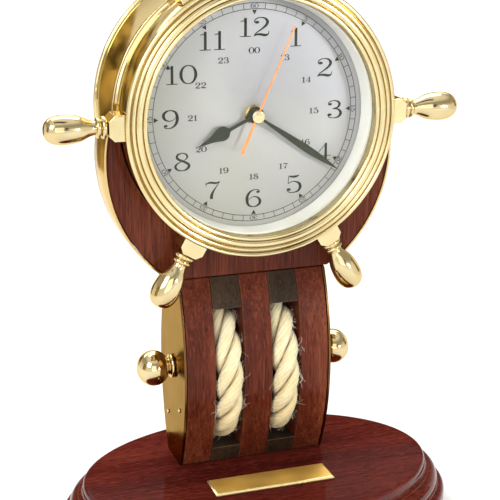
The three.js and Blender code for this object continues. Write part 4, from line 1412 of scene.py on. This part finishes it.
def stage_mesh(name, verts, faces, material):
    mesh = bpy.data.meshes.new(name)
    mesh.from_pydata(verts, [], faces)
    mesh.materials.append(material)
    obj = add_object(name, mesh)
    return obj


def aimed(obj, place, target):
    obj.location = place
    obj.rotation_euler = (Vector(target) - Vector(place)).to_track_quat("-Z", "Y").to_euler()


def softbox(name, place, size, power, aim):
    data = bpy.data.lights.new(name, "AREA")
    data.shape = "RECTANGLE"
    data.size, data.size_y = size
    data.energy = power
    aimed(add_object(name, data), place, aim)


def card(name, place, size, dark, light):
    """A mottled flag that only polished surfaces see."""
    f = Finish(name, Roughness=1.0, Specular_IOR_Level=0.0)
    f.use(Base_Color=f.ramp(f.noise(f.at(), 4.5, 2), (0.40, dark), (0.60, light)))
    corners = [(x, y, 0) for x, y in rectangle(size[0] / 2, size[1] / 2)]
    flag = stage_mesh(name, corners, [(0, 1, 2, 3)], f.material)
    aimed(flag, place, CARD_AIM)
    flag.visible_camera = False
    flag.visible_diffuse = False
    flag.visible_shadow = False
    flag.visible_transmission = False


def make_floor():
    f = Finish("pale_floor", Roughness=0.9, Specular_IOR_Level=0.1)
    f.use(Base_Color=f.ramp(f.noise(f.at(), 3, 3), (0.3, 0.84), (0.7, 0.87)))
    radius, _, _ = f.radius()
    f.fade_out(f.spread(radius, 0.0, 1.0, FLOOR_CLEAR, FLOOR_GONE))
    ring = [(x, y, 0) for x, y in circle(FLOOR_RADIUS, 64)]
    stage_mesh("floor", ring, [tuple(range(len(ring)))], f.material)


def warm_grey(grey):
    """Warmer the darker it is."""
    return grey, grey * (0.93 + 0.07 * grey), grey * (0.82 + 0.18 * grey)


def make_sky():
    world = bpy.data.worlds.new("studio")
    bpy.context.scene.world = world
    world.use_nodes = True
    tree = world.node_tree
    background = tree.nodes["Background"]
    place = tree.nodes.new("ShaderNodeTexCoord")
    split = tree.nodes.new("ShaderNodeSeparateXYZ")
    ramp = tree.nodes.new("ShaderNodeValToRGB")
    tree.links.new(place.outputs["Generated"], split.inputs[0])
    tree.links.new(split.outputs[2], ramp.inputs[0])
    tree.links.new(ramp.outputs[0], background.inputs["Color"])
    set_stops(ramp.color_ramp, [(height, warm_grey(grey)) for height, grey in SKY])
    background.inputs["Strength"].default_value = SKY_STRENGTH


def make_camera():
    azimuth, elevation, roll = (math.radians(a) for a in (VIEW_AZIMUTH, VIEW_ELEVATION, VIEW_ROLL))
    back = Vector((math.sin(azimuth) * math.cos(elevation), -math.cos(azimuth) * math.cos(elevation),
                   math.sin(elevation)))
    right = Vector((math.cos(azimuth), math.sin(azimuth), 0))
    up = back.cross(right)
    turned_right = math.cos(roll) * right + math.sin(roll) * up
    turned_up = -math.sin(roll) * right + math.cos(roll) * up
    data = bpy.data.cameras.new("camera")
    data.sensor_width = 36.0
    data.lens = LENS_MM
    data.clip_start = 0.01
    data.clip_end = 30
    camera = add_object("camera", data)
    matrix = Matrix((turned_right, turned_up, back)).transposed().to_4x4()
    matrix.translation = VIEW_TARGET + back * VIEW_DISTANCE
    camera.matrix_world = matrix
    bpy.context.scene.camera = camera


make_floor()
make_sky()
for row in SOFTBOXES:
    softbox(*row)
for row in CARDS:
    card(*row)
make_camera()
bpy.context.scene.view_settings.view_transform = "Standard"
